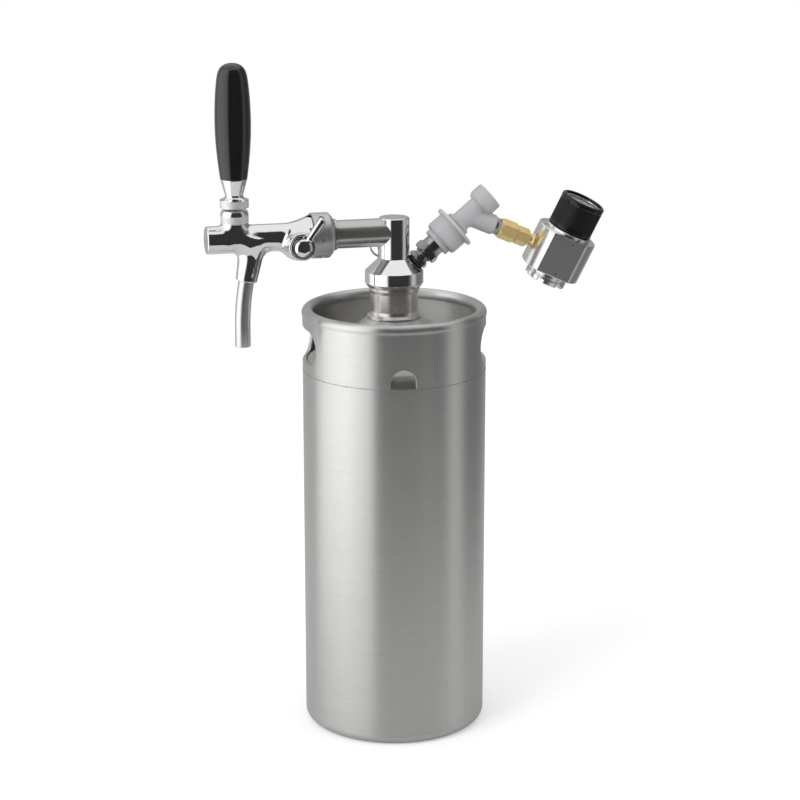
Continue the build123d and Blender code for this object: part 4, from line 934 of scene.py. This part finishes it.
ringLine = [(seamWeld["radius"] + seamWeld["halfWidth"] * cos(pi * k / 4),
             seamWeld["height"] + seamWeld["halfHeight"] * sin(pi * k / 4)) for k in range(8)]
addPiece("kegSeamWeld", spunMesh("kegSeamWeld", ringLine, seamWeld["steps"], seamWarp), kegPlace, "weld", "keg",
         sharp=80)
tackWelds = {"azimuths": (-128.0, -126.1, -46.3, -44.2, 28.0, 31.5, 118.0, 121.2, 201.0), "size": 0.75, "rise": 0.28,
             "radius": 66.45, "height": 268.3}
for index, azimuth in enumerate(tackWelds["azimuths"]):
    size = tackWelds["size"] * (0.8 + 0.15 * (index % 3))
    dome = [(0, tackWelds["rise"])]
    dome += [(size * sin(radians(a)), tackWelds["rise"] * cos(radians(a))) for a in range(15, 91, 15)]
    dome += [(size, -0.3), (0, -0.3)]
    height = tackWelds["height"] + 0.25 * sin(index * 2.3)   # set down by hand, so not quite level
    place = turnAbout("Z", azimuth) @ shift(tackWelds["radius"], 0, height) @ turnAbout("Y", 90)
    name = "tackWeld%d" % index
    addPiece(name, spunMesh(name, dome, 16), place, "weld", "keg", sharp=80)

spun("kegNeckTurned",
     [(14.75, 303), (17.35, 303), (17.35, 306.8, 0), (19.9, 306.2, 0.3), (20.15, 307.5, 0.5), (18.7, 308.9, 0.9),
      (18.2, 309.6, 0.4), (17.35, 311.6, 1.5), (17.35, 324.9, 1.2), (17.9, 325.9, 0.5), (18.4, 326.8, 0.5),
      (18.4, 329, 0.35), (14.75, 329, 0.35)],
     kegPlace, "neck", "keg", ["keg_neck"], around=144)
print("keg made")

# screwed head
cap = {
    "radius": stand["capRadius"],
    "underside": 329.3,
    "bandLow": 331.2,
    "bandTop": stand["capBandTop"],
    "top": stand["capTop"],
    "plugRadius": 14.4,
    "plugLow": 318.0,
    "galleryRadius": 7.5,
    "galleryTop": 338.0,
    "socketRadius": 7.05,
    "socketFloor": 344.1,
    "spotFaceRadius": 6.8,
}


def capField(p):
    x, y, z = p[..., 0], p[..., 1], p[..., 2]
    r = np.sqrt(x * x + y * y)
    slope = atan2(cap["top"] - cap["bandTop"], cap["radius"] - stand["columnRadius"])
    cone = (r - cap["radius"]) * sin(slope) + (z - cap["bandTop"]) * cos(slope)
    low = (r - 19.6) * 0.845 - (z - cap["underside"]) * 0.535
    skirt = smoothMax(smoothMax(r - cap["radius"], cone, 0.35), smoothMax(low, cap["underside"] - z, 0.2), 0.35)
    skirt = np.maximum(skirt, z - cap["top"])
    plug = smoothMax(np.maximum(r - cap["plugRadius"], z - cap["bandLow"]), cap["plugLow"] - z, 0.6)
    solid = np.minimum(skirt, plug)
    solid = np.maximum(solid, -np.maximum(r - cap["galleryRadius"], z - cap["galleryTop"]))
    solid = np.maximum(solid, -np.maximum(r - cap["socketRadius"], cap["socketFloor"] - z))
    tilt = radians(stand["portTilt"])
    for axisX, axisY in ((1, 0), (0, 1)):
        flat = x * axisX + y * axisY - seatRadial
        side = -x * axisY + y * axisX
        along = flat * cos(tilt) + (z - seatHeight) * sin(tilt)
        rise = -flat * sin(tilt) + (z - seatHeight) * cos(tilt)
        solid = smoothMax(solid, -np.maximum(np.sqrt(side ** 2 + rise ** 2) - cap["spotFaceRadius"], -along), 0.2)
    return solid


addSkin("capTurned", capField, (-21.8, -21.8, 317.2), (21.8, 21.8, 350.2), 0.55, headPlace, "mirror", "head",
        ["dispenser_cap"])
spun("columnTurned",
     [(4.06, 344.1), (7, 344.1), (7, stand["capTop"]), (stand["columnRadius"], stand["capTop"], 0.15),
      (stand["columnRadius"], 379, 1.1), (0, 379), (0, 353.2), (4.06, 353.2)],
     headPlace, "mirror", "head", ["riser_column"], around=128)


def cope(angle, r, z):
    # the shank's end is cut to the round of the column
    reach = stand["columnRadius"] + 0.05
    return (r, sqrt(reach ** 2 - (r * sin(angle)) ** 2)) if z < 1 else (r, z)


spun("shankTurned",
     [(4, 0, 0), (10.15, 0, 0), (10.15, 40, 0), (10.15, 43, 0.2), (11.25, 43, 0.35), (11.25, 45, 0.35),
      (10.15, 45, 0.2), (10.15, 49.3, 0.1), (13.5, 49.3, 0.3), (13.5, 52.3, 0.2), (4, 52.3)],
     tapPlace, "turned", "head", ["shank_tube"], around=144, warp=cope)

nut = {"start": 45.8, "end": 61.1, "radius": 16.3, "bore": 10.45, "threadRadius": 14.5, "holes": 6, "holeRadius": 1.8,
       "holeDepth": 1.2}


def nutField(p):
    x, y, z = p[..., 0], p[..., 1], p[..., 2]
    r = np.sqrt(x * x + y * y)
    cone = ((r - 13.2) * 2.8 - (z - nut["start"]) * 3.1) / sqrt(2.8 ** 2 + 3.1 ** 2)
    solid = smoothMax(smoothMax(r - nut["radius"], cone, 0.5), smoothMax(nut["start"] - z, z - nut["end"], 0.1), 0.5)
    solid = smoothMax(solid, nut["bore"] - r, 0.3)
    solid = smoothMax(solid, -np.maximum(r - nut["threadRadius"], nut["start"] + 3.4 - z), 0.3)
    turn = np.arctan2(y, x)
    pitch = 2 * pi / nut["holes"]
    near = ((turn % pitch) - pitch / 2) * nut["radius"]
    hole = np.sqrt(near ** 2 + (z - nut["start"] - 9.18) ** 2) - nut["holeRadius"]
    return smoothMax(solid, -np.maximum(hole, nut["radius"] - nut["holeDepth"] - r), 0.15)


addSkin("couplingNutTurned", nutField, (-17, -17, 45.2), (17, 17, 61.8), 0.5, tapPlace, "coupling", "coupling_nut",
        ["coupling_nut"])
print("head made")

# faucet
faucet = {
    "start": 53.8,
    "threadRadius": 14.2,
    "flareStart": 61.4,
    "flareRadius": 15.0,
    "flareSlope": -0.35,
    "flareEnd": 80.0,
    "radius": 9.9,
    "end": 136.4,
    "flowMiddle": (-4.0, 71.0),
    "flowRadius": 9.8,
    "flowRoot": 12.6,
    "flowEnd": 21.0,
    "dishRadius": 7.9,
    "dishFloor": 17.5,
    "leverAt": 115.6,
    "leverRadius": 8.65,
    "leverTop": 11.8,
    "spoutAt": 102.3,
    "spoutLean": 10.5,
    "nozzleLength": 30.8,
    "nozzleRoot": 9.6,
    "nozzleTip": 7.6,
    "socketRadius": 5.6,
    "socketStart": 17.8,
}


def faucetRadius(z):
    span = faucet["flareEnd"] - faucet["flareStart"]
    t = np.clip((z - faucet["flareStart"]) / span, 0, 1)
    rise = (2 * t ** 3 - 3 * t ** 2 + 1) * faucet["flareRadius"]
    lean = (t ** 3 - 2 * t ** 2 + t) * span * faucet["flareSlope"]
    return rise + lean + (3 * t ** 2 - 2 * t ** 3) * faucet["radius"]


def faucetField(p):
    x, y, z = p[..., 0], p[..., 1], p[..., 2]
    r = np.sqrt(x * x + y * y)
    body = (r - faucetRadius(z)) * 0.95
    body = smoothMax(body, z - faucet["end"], 1.5)
    body = smoothMax(body, faucet["flareStart"] - z, 0.5)
    middle = np.sqrt((x - faucet["flowMiddle"][0]) ** 2 + (z - faucet["flowMiddle"][1]) ** 2)
    share = np.clip((-y - 5) / 10, 0, 1)
    boss = (middle - faucet["flowRoot"] + (faucet["flowRoot"] - faucet["flowRadius"]) * share) * 0.96
    boss = smoothMax(smoothMax(boss, -y - faucet["flowEnd"], 1.3), y, 0.5)
    body = smoothMin(body, boss, 3.5)
    lever = np.sqrt(y ** 2 + (z - faucet["leverAt"]) ** 2) - faucet["leverRadius"]
    body = smoothMin(body, smoothMax(lever, np.maximum(x - faucet["leverTop"], -x), 0.3), 4.5)
    lean = radians(faucet["spoutLean"])
    down = -x * cos(lean) + (z - faucet["spoutAt"]) * sin(lean)
    out = x * sin(lean) + (z - faucet["spoutAt"]) * cos(lean)
    across = np.sqrt(out ** 2 + y ** 2)
    taper = np.clip((down - 3) / (faucet["nozzleLength"] - 3), 0, 1)
    nozzle = across - faucet["nozzleRoot"] + (faucet["nozzleRoot"] - faucet["nozzleTip"]) * taper
    nozzle = smoothMax(smoothMax(nozzle, down - faucet["nozzleLength"], 0.7), -down, 0.3)
    body = smoothMin(body, nozzle, 6.0)
    thread = np.maximum(r - faucet["threadRadius"], np.maximum(faucet["start"] - z, z - faucet["flareStart"] - 1))
    body = np.minimum(body, thread)
    body = smoothMax(body, -smoothMax(middle - faucet["dishRadius"], faucet["dishFloor"] + y, 0.9), 0.9)
    body = smoothMax(body, -np.maximum(across - faucet["socketRadius"], faucet["socketStart"] - down), 0.3)
    return np.maximum(body, -np.maximum(r - 8.5, z - 58.6))


addSkin("faucetCast", faucetField, (-34, -23, 53), (13.5, 16.2, 137.6), 0.6, tapPlace, "cast", "faucet",
        ["faucet_body"])
print("faucet body made")


def knurled(name, corners, band, place, finish, body, nodes, rest):
    # rest names the finish of everything outside the knurled band
    line = [corner[:2] for corner in corners]
    mesh = spunMesh(name, line, band["around"], knurlWarp(band))
    for face in mesh.polygons:
        face.material_index = 0 if band["low"] - 0.1 < face.center.z / mm < band["high"] + 0.1 else 1
    return addPiece(name, mesh, place, finish, body, nodes, sharp=60, slots=[rest])


# tap lever: bonnet, handle collar, ferrule and grip
bonnetKnurl = {"low": 12.3, "high": 17.2, "radius": 10.0, "step": 0.27, "teeth": 60, "depth": 0.24, "around": 360}
bonnetLine = [(8.25, 11.8), (9.75, 11.8), (10.0, 12.05)] + ladder(bonnetKnurl)
bonnetLine += [(10.0, 17.5), (9.98, 18.2), (9.86, 18.9), (9.62, 19.6), (9.25, 20.3), (8.9, 20.8), (8.6, 21.1),
               (8.3, 21.2), (7.4, 21.2), (7.2, 21.1), (5.25, 17.3), (7.5, 17.3), (7.5, 15), (8.25, 15)]
knurled("bonnetKnurled", bonnetLine, bonnetKnurl, leverPlace, "knurl", "faucet", ["bonnet"], rest="mirror")
collarKnurl = {"low": 23.4, "high": 28.1, "radius": 10.3, "step": 0.27, "teeth": 62, "depth": 0.24, "around": 372}
collarLine = [(2.45, 25.2), (5.5, 25.0), (7.6, 24.3), (9.3, 23.0), (9.8, 22.75), (10.15, 22.85), (10.3, 23.2)]
collarLine += ladder(collarKnurl)
collarLine += [(10.25, 28.35), (10.05, 28.5), (9.2, 28.75), (8.3, 29.15), (7.5, 29.65), (6.85, 30.3), (6.45, 30.9),
               (6.3, 31.4), (2.45, 31.4)]
knurled("handleCollarKnurled", collarLine, collarKnurl, leverPlace, "knurl", "lever", ["handle_collar"],
        rest="mirror")
spun("ferruleTurned", [(0, 31.4), (6.3, 31.4, 0.1), (6.45, 32.0, 0.4), (9.4, 42.6, 0.3), (9.4, 43.0, 0.1), (0, 43.0)],
     leverPlace, "mirror", "lever", ["handle_ferrule"], around=128)
gripStops = [(0, 9.3), (0.4, 9.65), (1.5, 9.75), (10, 10.85), (20, 11.85), (30, 12.5), (38, 12.7), (46, 12.65),
             (56, 12.25), (64, 11.6), (70, 10.9), (74, 10.1), (77, 8.7), (79, 6.8), (80.2, 4.6), (80.8, 2.4), (81, 0)]


def smoothLine(stops, parts):
    # a flowing line through the stops, each given as (height, radius)
    line = []
    for index in range(len(stops) - 1):
        before, start, end, after = (Vector(stops[max(0, min(len(stops) - 1, index + k))]) for k in (-1, 0, 1, 2))
        for part in range(parts):
            t = part / parts
            line.append(0.5 * (2 * start + (end - before) * t + (2 * before - 5 * start + 4 * end - after) * t * t
                               + (3 * start - before - 3 * end + after) * t ** 3))
    return line + [Vector(stops[-1])]


gripLine = [(0, 43.0)] + [(max(0.0, spot.y), 43.0 + spot.x) for spot in smoothLine(gripStops, 4)]
addPiece("gripTurned", spunMesh("gripTurned", gripLine, 96), leverPlace, "grip", "lever", ["handle_grip"], sharp=50)
print("lever made")

# flow control
spun("flowHubTurned",
     [(0, 8.2), (3.9, 8.2), (3.9, 17.6, 0), (6.5, 17.6, 0), (6.5, 19.6, 0.25), (6.15, 19.9, 0.15), (6.15, 20.3, 0.15),
      (6.5, 20.6, 0.25), (6.5, 23.9, 0.2), (6.35, 24.7, 0.5), (5.85, 25.45, 0.8), (4.8, 26.2, 1.2), (3.2, 26.75, 2),
      (1.6, 26.96, 2), (0, 27)],
     flowPlace, "mirror", "flow_control", ["flow_hub"], around=96)
leverTurn = flowPlace @ shift(0, 0, 23.9) @ turnAbout("Z", -35) @ turnAbout("Y", 90)
spun("flowLeverTurned",
     [(0, 1.3), (2.3, 1.3), (2.3, 6.3, 0.4), (2.75, 7.0, 0.5), (2.6, 8.4, 1.0), (3.1, 21.7, 1.5), (3.02, 23.4, 0.8),
      (2.2, 24.6, 0.7), (0, 24.8)],
     leverTurn, "mirror", "flow_control", ["flow_lever"], around=64)


def pipe(name, route, outer, inner, place, finish, body, nodes):
    # a tube along a flat route of (x, z) points, with its ends rounded over
    points, faces, around = [], [], 48
    middle = (outer + inner) / 2
    half = (outer - inner) / 2
    rows = []
    for index, (x, z) in enumerate(route):
        before, after = route[max(0, index - 1)], route[min(len(route) - 1, index + 1)]
        along = Vector((after[0] - before[0], after[1] - before[1])).normalized()
        rows.append((Vector((x, z)), along))

    def circle(spot, along, radius):
        side = Vector((along.y, -along.x))
        return [((spot.x + side.x * radius * cos(a)) * mm, radius * sin(a) * mm,
                 (spot.y + side.y * radius * cos(a)) * mm)
                for a in (2 * pi * k / around for k in range(around))]

    line = [circle(spot, along, outer) for spot, along in rows]
    spot, along = rows[-1]
    line += [circle(spot + along * half * sin(radians(a)), along, middle + half * cos(radians(a)))
             for a in (30, 60, 90, 120, 150)]
    line += [circle(spot, along, inner) for spot, along in reversed(rows)]
    weave(points, faces, line + line[:1], ring=True)
    return addPiece(name, tidyMesh(name, points, faces), place, finish, body, nodes, sharp=50)


spout = {"radius": 5.55, "wall": 0.9, "bend": 190.0, "tail": 13.0}
lean = radians(faucet["spoutLean"])
leave = (-faucet["nozzleLength"] * sin(lean), -faucet["nozzleLength"] * cos(lean))
hub = (leave[0] + spout["bend"] * cos(lean), leave[1] - spout["bend"] * sin(lean))
spoutRoute = [(-faucet["socketStart"] * sin(lean), -faucet["socketStart"] * cos(lean)), leave]
spoutRoute += [(hub[0] - spout["bend"] * cos(lean * (1 - k / 10)), hub[1] + spout["bend"] * sin(lean * (1 - k / 10)))
               for k in range(1, 11)]
spoutRoute.append((spoutRoute[-1][0], spoutRoute[-1][1] - spout["tail"] + 0.45))
pipe("spoutTube", spoutRoute, spout["radius"], spout["radius"] - spout["wall"],
     headPlace @ shift(-faucet["spoutAt"], 0, stand["armHeight"]), "tube", "faucet", ["spout_tube"])
print("flow control and spout made")


# gas post: nuts and necks, with the threads left plain
nutEdge = {"width": 0.14, "segments": 2, "angle": 30}


def nutPiece(name, flats, low, high, bore, place, finish, body, nodes=()):
    piece = addPiece(name, hexMesh(name, flats, low, high, bore), place, finish, body, nodes, sharp=25)
    edges = piece.modifiers.new("softEdges", "BEVEL")
    edges.width = nutEdge["width"] * mm
    edges.segments = nutEdge["segments"]
    edges.limit_method = "ANGLE"
    edges.angle_limit = radians(nutEdge["angle"])
    edges.harden_normals = False
    return evenNormals(piece)


nutPiece("adapterHex", 14.4, 1.9, 5.1, 2.0, gasPlace, "fitting", "head")
spun("adapterNeck",
     [(2.0, -5.4), (4.15, -5.4), (4.15, 1.0), (5.4, 1.9, 0.1), (5.4, 5.2, 0.1), (6.7, 5.2, 0.2), (6.7, 5.9, 0.2),
      (5.6, 6.1, 0.2), (5.6, 7.5, 0.2), (6.4, 7.7, 0.2), (6.4, 8.7, 0.2), (4.8, 8.8), (4.8, 15.8), (2.0, 15.8)],
     gasPlace, "fitting", "head", ["post_adapter"], around=96)
nutPiece("postHex", 17.0, 8.8, 14.6, 4.85, gasPlace, "fitting", "head")
spun("postBarrel",
     [(4.85, 9.0), (7.9, 9.0, 0.1), (8.35, 14.5, 0.1), (8.35, 15.1, 0.25), (7.75, 15.5, 0.3), (7.75, 28.3, 0.3),
      (7.2, 29.6, 0.8), (7.75, 30.9, 0.3), (7.75, 34.3, 0.2), (7.15, 34.5, 0.1), (7.15, 36.7, 0.1), (7.75, 36.9, 0.2),
      (7.75, 40.3, 0.2), (6.95, 41.1, 0.3), (2.4, 41.1, 0.2), (2.4, 39.5), (4.4, 39.5), (4.4, 15.2), (4.85, 15.2)],
     gasPlace, "fitting", "head", ["gas_post"], around=96)

# gas disconnect, one moulding with a side arm
arm = {"at": stand["sideArmPosition"], "angle": stand["sideArmAngle"], "radius": 7.4, "length": 21.0,
       "spigotRadius": 5.3, "spigotEnd": 33.5}


def disconnectField(p):
    x, y, z = p[..., 0], p[..., 1], p[..., 2]
    r = np.sqrt(x * x + y * y)

    def disc(radius, low, high, edge=0.4):
        return smoothMax(r - radius, np.maximum(low - z, z - high), edge)

    body = np.minimum(disc(10.6, 20.5, 38.5), disc(11.7, 38, 39.7))
    collar = smoothMax(disc(9.4, 39.5, 43.8, 1.6), (r - 7.25) * 0.71 + (z - 43.6) * 0.71 - 0.9, 0.8)
    body = np.minimum(body, collar)
    stem = disc(7.25, 40, 70)
    cone = (r - 10.75) * 0.78 - (z - 64.0) * 0.62
    top = smoothMax(smoothMax(disc(10.75, 60.5, 73.0, 0.9), cone, 0.9), 61.8 - z, 0.3)
    body = np.minimum(body, smoothMin(stem, collar, 1.0))
    body = smoothMin(body, top, 0.9)
    lean = radians(arm["angle"])
    along = x * sin(lean) + (z - arm["at"]) * cos(lean)
    across = np.sqrt((x * cos(lean) - (z - arm["at"]) * sin(lean)) ** 2 + y ** 2)
    side = smoothMax(across - arm["radius"], np.maximum(along - arm["length"], -along), 1.3)
    body = smoothMin(body, side, 1.8)
    spigot = np.maximum(across - arm["spigotRadius"], np.maximum(along - arm["spigotEnd"], -along))
    body = np.minimum(body, spigot)
    body = np.maximum(body, -np.maximum(r - 8.1, z - 42.2))
    body = smoothMax(body, -np.maximum(r - 7.65, 67.0 - z), 0.25)
    return np.maximum(body, -np.maximum(across - 2.0, 4.0 - along))


addSkin("disconnectMoulded", disconnectField, (-12.5, -12.5, 19.8), (36.5, 12.5, 76.5), 0.5, gasPlace, "disconnect",
        "disconnect", ["disconnect_body"])
spun("sleeveMoulded",
     [(12.4, 24.7, 0.2), (13.05, 24.7, 0.25), (13.05, 25.9, 0.15), (13.5, 26.1, 0.25), (13.5, 36.9, 0.4),
      (13.9, 37.3, 0.3), (16.2, 37.35, 0.3), (16.55, 37.9, 0.3), (16.55, 39.2, 0.35), (16.1, 39.7, 0.35),
      (12.0, 39.7, 0.3), (12.0, 31.8), (10.9, 31.8), (10.9, 27.5), (12.4, 27.5)],
     gasPlace, "disconnect", "sleeve", ["disconnect_sleeve"], around=128)
spun("sleeveRim",
     [(12.1, 39.4, 0), (13.6, 37.25, 0), (16.2, 37.28, 0.3), (16.62, 37.9, 0.3), (16.62, 39.2, 0.35),
      (16.1, 39.78, 0.35), (12.1, 39.78, 0.3)],
     gasPlace, "flange", "sleeve", around=128)
print("disconnect made")

# brass connection
spun("flareRing",
             [(5.35, 21.05), (6.35, 21.05, 0.2), (6.35, 22.1, 0.2), (5.9, 22.3, 0.1), (5.9, 22.6, 0.1),
              (6.2, 22.75, 0.1), (6.2, 23.2, 0.2), (5.35, 23.2)],
             armPlace, "spring", "flare_seal", ["flare_washer"], around=72)
nutPiece("swivelHex", 13.2, 26.2, 38.5, 4.4, armPlace, "brass", "swivel_nut")
spun("swivelSkirt",
     [(5.65, 25.0, 0.2), (6.7, 25.0, 0.35), (6.75, 26.6, 0.2), (6.3, 26.9, 0.1), (6.2, 36.0), (4.4, 36.0),
      (4.4, 36.5), (5.65, 36.5)],
     armPlace, "brass", "swivel_nut", ["swivel_nut"], around=96)
nutPiece("flareHex", 12.0, 38.9, 48.4, 1.8, armPlace, "brass", "regulator")
spun("flareStem",
     [(1.8, 33.6), (5.25, 33.6), (5.25, 36.5), (4.0, 36.5), (4.0, 38.7), (5.7, 38.7, 0.15), (5.7, 39.2, 0.15),
      (4.0, 39.4), (4.0, 48.2), (5.85, 48.2, 0.2), (5.85, 48.8, 0.2), (4.3, 49.1, 0.3), (4.0, 50.2, 0.4),
      (4.0, 58.75), (1.8, 58.75)],
     armPlace, "brass", "regulator", ["flare_fitting"], around=96)
spun("inletFlare", [(3.9, 50.9, 0), (4.15, 50.9, 0.1), (4.5, 51.7, 0.6), (5.6, 52.95, 0.3), (3.9, 53.3, 0)],
     armPlace, "brass", "regulator", around=72)
print("brass connection made")

# regulator
regulator = {"radius": 22.25, "top": 15.5, "flat": 18.5, "flatTurn": -8.0, "edge": 0.8, "bore": 12.1,
             "innerBore": 15.25}


def fromFlat(turn):
    # degrees between a direction and the middle of the nearer flat
    return abs((degrees(turn) - regulator["flatTurn"]) % 180 - 90)


def regulatorReach(turn):
    return min(regulator["radius"], regulator["flat"] / max(0.01, cos(radians(fromFlat(turn)))))


def regulatorMesh():
    edge = degrees(acos(regulator["flat"] / regulator["radius"]))
    turns = []
    for middle in (90 + regulator["flatTurn"], 270 + regulator["flatTurn"]):
        turns += [middle - edge + 2 * edge * k / 20 for k in range(21)]
        turns += [middle + edge + (180 - 2 * edge) * k / 40 for k in range(1, 40)]
    cut, top = regulator["edge"], regulator["top"]
    profile = [(-cut, -top), (-cut * 0.7, -top + 0.06), (-cut * 0.06, -top + cut * 0.7), (0, -top + cut),
               (0, top - cut), (-cut * 0.06, top - cut * 0.7), (-cut * 0.7, top - 0.06), (-cut, top)]
    rows = []
    for turn in turns:
        angle = radians(turn)
        reach = regulatorReach(angle)
        line = [(reach + inset, z) for inset, z in profile]
        line = [(regulator["bore"], -top)] + line + [(regulator["innerBore"], top), (regulator["innerBore"], -1.0),
                                                    (regulator["bore"], -1.0)]
        rows.append([(r * cos(angle) * mm, r * sin(angle) * mm, z * mm) for r, z in line])
    points, faces = [], []
    columns = [list(column) for column in zip(*rows)]
    weave(points, faces, columns + columns[:1], ring=True)
    mesh = tidyMesh("regulatorTurned", points, faces)
    for face in mesh.polygons:
        middle = face.center / mm
        side = fromFlat(atan2(middle.y, middle.x))
        if side < edge + 0.3 and abs(middle.z) < top - cut and middle.xy.length > 17.5:
            face.material_index = 1
    return mesh


evenNormals(addPiece("regulatorTurned", regulatorMesh(), regulatorPlace, "regulator", "regulator", ["regulator_body"],
                     sharp=20, slots=["flat"]))
# painted shade: two thin dark discs on the flat stand for two small pits, which are not cut into the metal
pitShadeSpots = {"turn": 270 + regulator["flatTurn"], "spots": ((3.4, 12.3), (1.6, -12.6)), "radius": 0.42}
for index, (along, height) in enumerate(pitShadeSpots["spots"]):
    place = (regulatorPlace @ turnAbout("Z", pitShadeSpots["turn"]) @ shift(regulator["flat"], along, height)
             @ turnAbout("Y", 90))
    size = pitShadeSpots["radius"]
    shadeDiscOutline = [(0, 0.012), (size * 0.7, 0.012), (size, 0.02), (size * 1.25, 0.05), (size * 1.5, 0.01), (size * 1.5, -0.2),
           (0, -0.2)]
    name = "pitShadeDisc%d" % index
    addPiece(name, spunMesh(name, shadeDiscOutline, 24), place, "ink", "regulator", sharp=50)
spun("bonnetFlange",
     [(9.2, 15.5), (17.1, 15.5, 0.1), (17.5, 15.9, 0.25), (17.5, 16.7, 0.2), (17.1, 16.9, 0.1), (17.1, 17.1, 0.1),
      (17.5, 17.3, 0.15), (17.5, 17.6, 0.25), (17.1, 18.0, 0.2), (11, 18.0), (11, 29.5), (3.06, 29.5), (3.06, 27.5),
      (9.2, 27.5)],
     regulatorPlace, "regulator", "regulator", around=128)
print("regulator body made")

knobKnurl = {"low": 22.45, "high": 37.3, "radius": 16.45, "step": 0.34, "teeth": 84, "depth": 0.3, "around": 420}
knobLine = [(11.3, 18.3), (15.7, 18.3), (16.1, 18.4), (16.38, 18.7), (16.45, 19.0), (16.45, 21.2), (16.3, 21.45),
            (15.85, 21.5), (15.85, 22.2), (16.3, 22.25)]
knobLine += ladder(knobKnurl)
knobLine += [(16.3, 37.5), (15.85, 37.5), (15.85, 38.15), (16.3, 38.2), (16.45, 38.45), (16.45, 41.1), (16.3, 41.5),
             (15.9, 42.0), (15.5, 42.25), (15.1, 42.3), (14.2, 42.3), (13.95, 42.2), (13.85, 41.9), (13.85, 34.0),
             (3.05, 34.0), (3.05, 31.0), (11.3, 31.0)]
knurled("knobKnurled", knobLine, knobKnurl, regulatorPlace, "knob", "knob", ["adjuster_knob"], rest="knobSmooth")

dial = {"face": 36.05, "radius": 13.8, "rimTop": 40.25, "ticks": 41, "sweep": 270.0, "startAngle": 225,
        "tickOuter": 11.6, "longTick": (8.3, 0.2), "shortTick": (9.9, 0.1), "inkHeight": 0.03}
spun("dialPressed",
     [(0, 34.05), (dial["radius"], 34.05), (dial["radius"], dial["rimTop"], 0.1), (13.1, dial["rimTop"], 0.1),
      (13.1, 36.9, 0.2), (12.4, 36.4, 0.5), (11.9, dial["face"], 0.5), (0.5, dial["face"]), (0.5, 37.65, 0.1),
      (0, 37.7)],
     regulatorPlace, "dial", "knob", ["gauge_dial"], around=128)


def dialMarks():
    points, faces = [], []
    for index in range(dial["ticks"]):
        angle = radians(dial["startAngle"] - dial["sweep"] * index / (dial["ticks"] - 1))
        inner, half = dial["shortTick"] if index % 5 else dial["longTick"]
        outer = dial["tickOuter"]
        base = len(points)
        for r, side in ((inner, -half), (outer, -half), (outer, half), (inner, half)):
            points.append(((r * cos(angle) - side * sin(angle)) * mm, (r * sin(angle) + side * cos(angle)) * mm,
                           (dial["face"] + dial["inkHeight"]) * mm))
        faces.append((base, base + 1, base + 2, base + 3))
    return tidyMesh("dialMarks", points, faces)


addPiece("dialMarks", dialMarks(), regulatorPlace, "ink", "knob")
print("knob and dial made")


# cartridge socket under the regulator, with its notched ring
socket = {"face": -15.5, "low": -23.5, "radius": 15.5, "bore": 11.3, "notches": 6, "notchHalf": 2.5,
          "notchDepth": 2.6}


def socketField(p):
    x, y, z = p[..., 0], p[..., 1], p[..., 2]
    r = np.sqrt(x * x + y * y)
    ring = smoothMax(r - socket["radius"], np.maximum(socket["low"] - z, z - socket["face"]), 0.6)
    groove = np.maximum(np.abs(z + 19.0) - 0.7, 14.6 - r)
    ring = smoothMax(ring, -groove, 0.2)
    ring = np.minimum(ring, np.maximum(r - 12.1, np.abs(z + 14.5) - 3.3))
    ring = smoothMax(ring, -np.maximum(r - socket["bore"], z + 17.5), 0.4)
    ring = np.minimum(ring, smoothMax(r - 7.8, np.maximum(-20.5 - z, z + 15), 0.3))
    ring = smoothMax(ring, 4.76 - r, 0.3)
    turn = np.arctan2(y, x)
    pitch = 2 * pi / socket["notches"]
    near = np.abs(((turn + pitch / 2) % pitch) - pitch / 2) * r
    notch = np.maximum(near - socket["notchHalf"], np.maximum(z - socket["low"] - socket["notchDepth"], 9.0 - r))
    return smoothMax(ring, -notch, 0.3)


addSkin("socketNotched", socketField, (-16.1, -16.1, -24.1), (16.1, 16.1, -10.6), 0.45, regulatorPlace, "regulator",
        "regulator", ["cartridge_adapter"])

# relief valve behind the column
nutPiece("reliefHex", 14.0, 1.9, 6.9, 2.2, reliefPlace, "fitting", "head")
spun("reliefBarrel",
     [(2.2, -5.4), (4.15, -5.4), (4.15, 0), (6.1, 0, 0.2), (6.1, 1.9), (5.6, 1.95), (5.6, 6.8), (6.4, 6.9, 0.1),
      (6.4, 8.3, 0.2), (6.1, 8.5, 0.1), (6.1, 8.8, 0.1), (6.4, 9.0, 0.2), (6.4, 16.0, 0.4), (5.2, 16.0, 0.2),
      (5.2, 19.0, 0.8), (2.46, 19.0, 0.2), (2.46, 16.0), (4.6, 16.0), (4.6, 3.0), (2.2, 3.0)],
     reliefPlace, "fitting", "head", ["relief_body"], around=96)
pullRing = {"eyeDistance": 26.5, "radius": 9.5, "wire": 0.8}
tilt = radians(stand["portTilt"])
ringPlace = headPlace @ turnAbout("Z", 90) @ shift(
    seatRadial + pullRing["eyeDistance"] * cos(tilt), 0,
    seatHeight + pullRing["eyeDistance"] * sin(tilt) - pullRing["radius"])
hoop = [(pullRing["radius"] + pullRing["wire"] * cos(pi * k / 8),
         pullRing["wire"] * sin(pi * k / 8)) for k in range(16)]
addPiece("pullRing", spunMesh("pullRing", hoop, 96), ringPlace @ turnAbout("Y", 90), "mirror", "pull_ring",
         ["relief_ring"],
         sharp=80)
print("relief valve made")
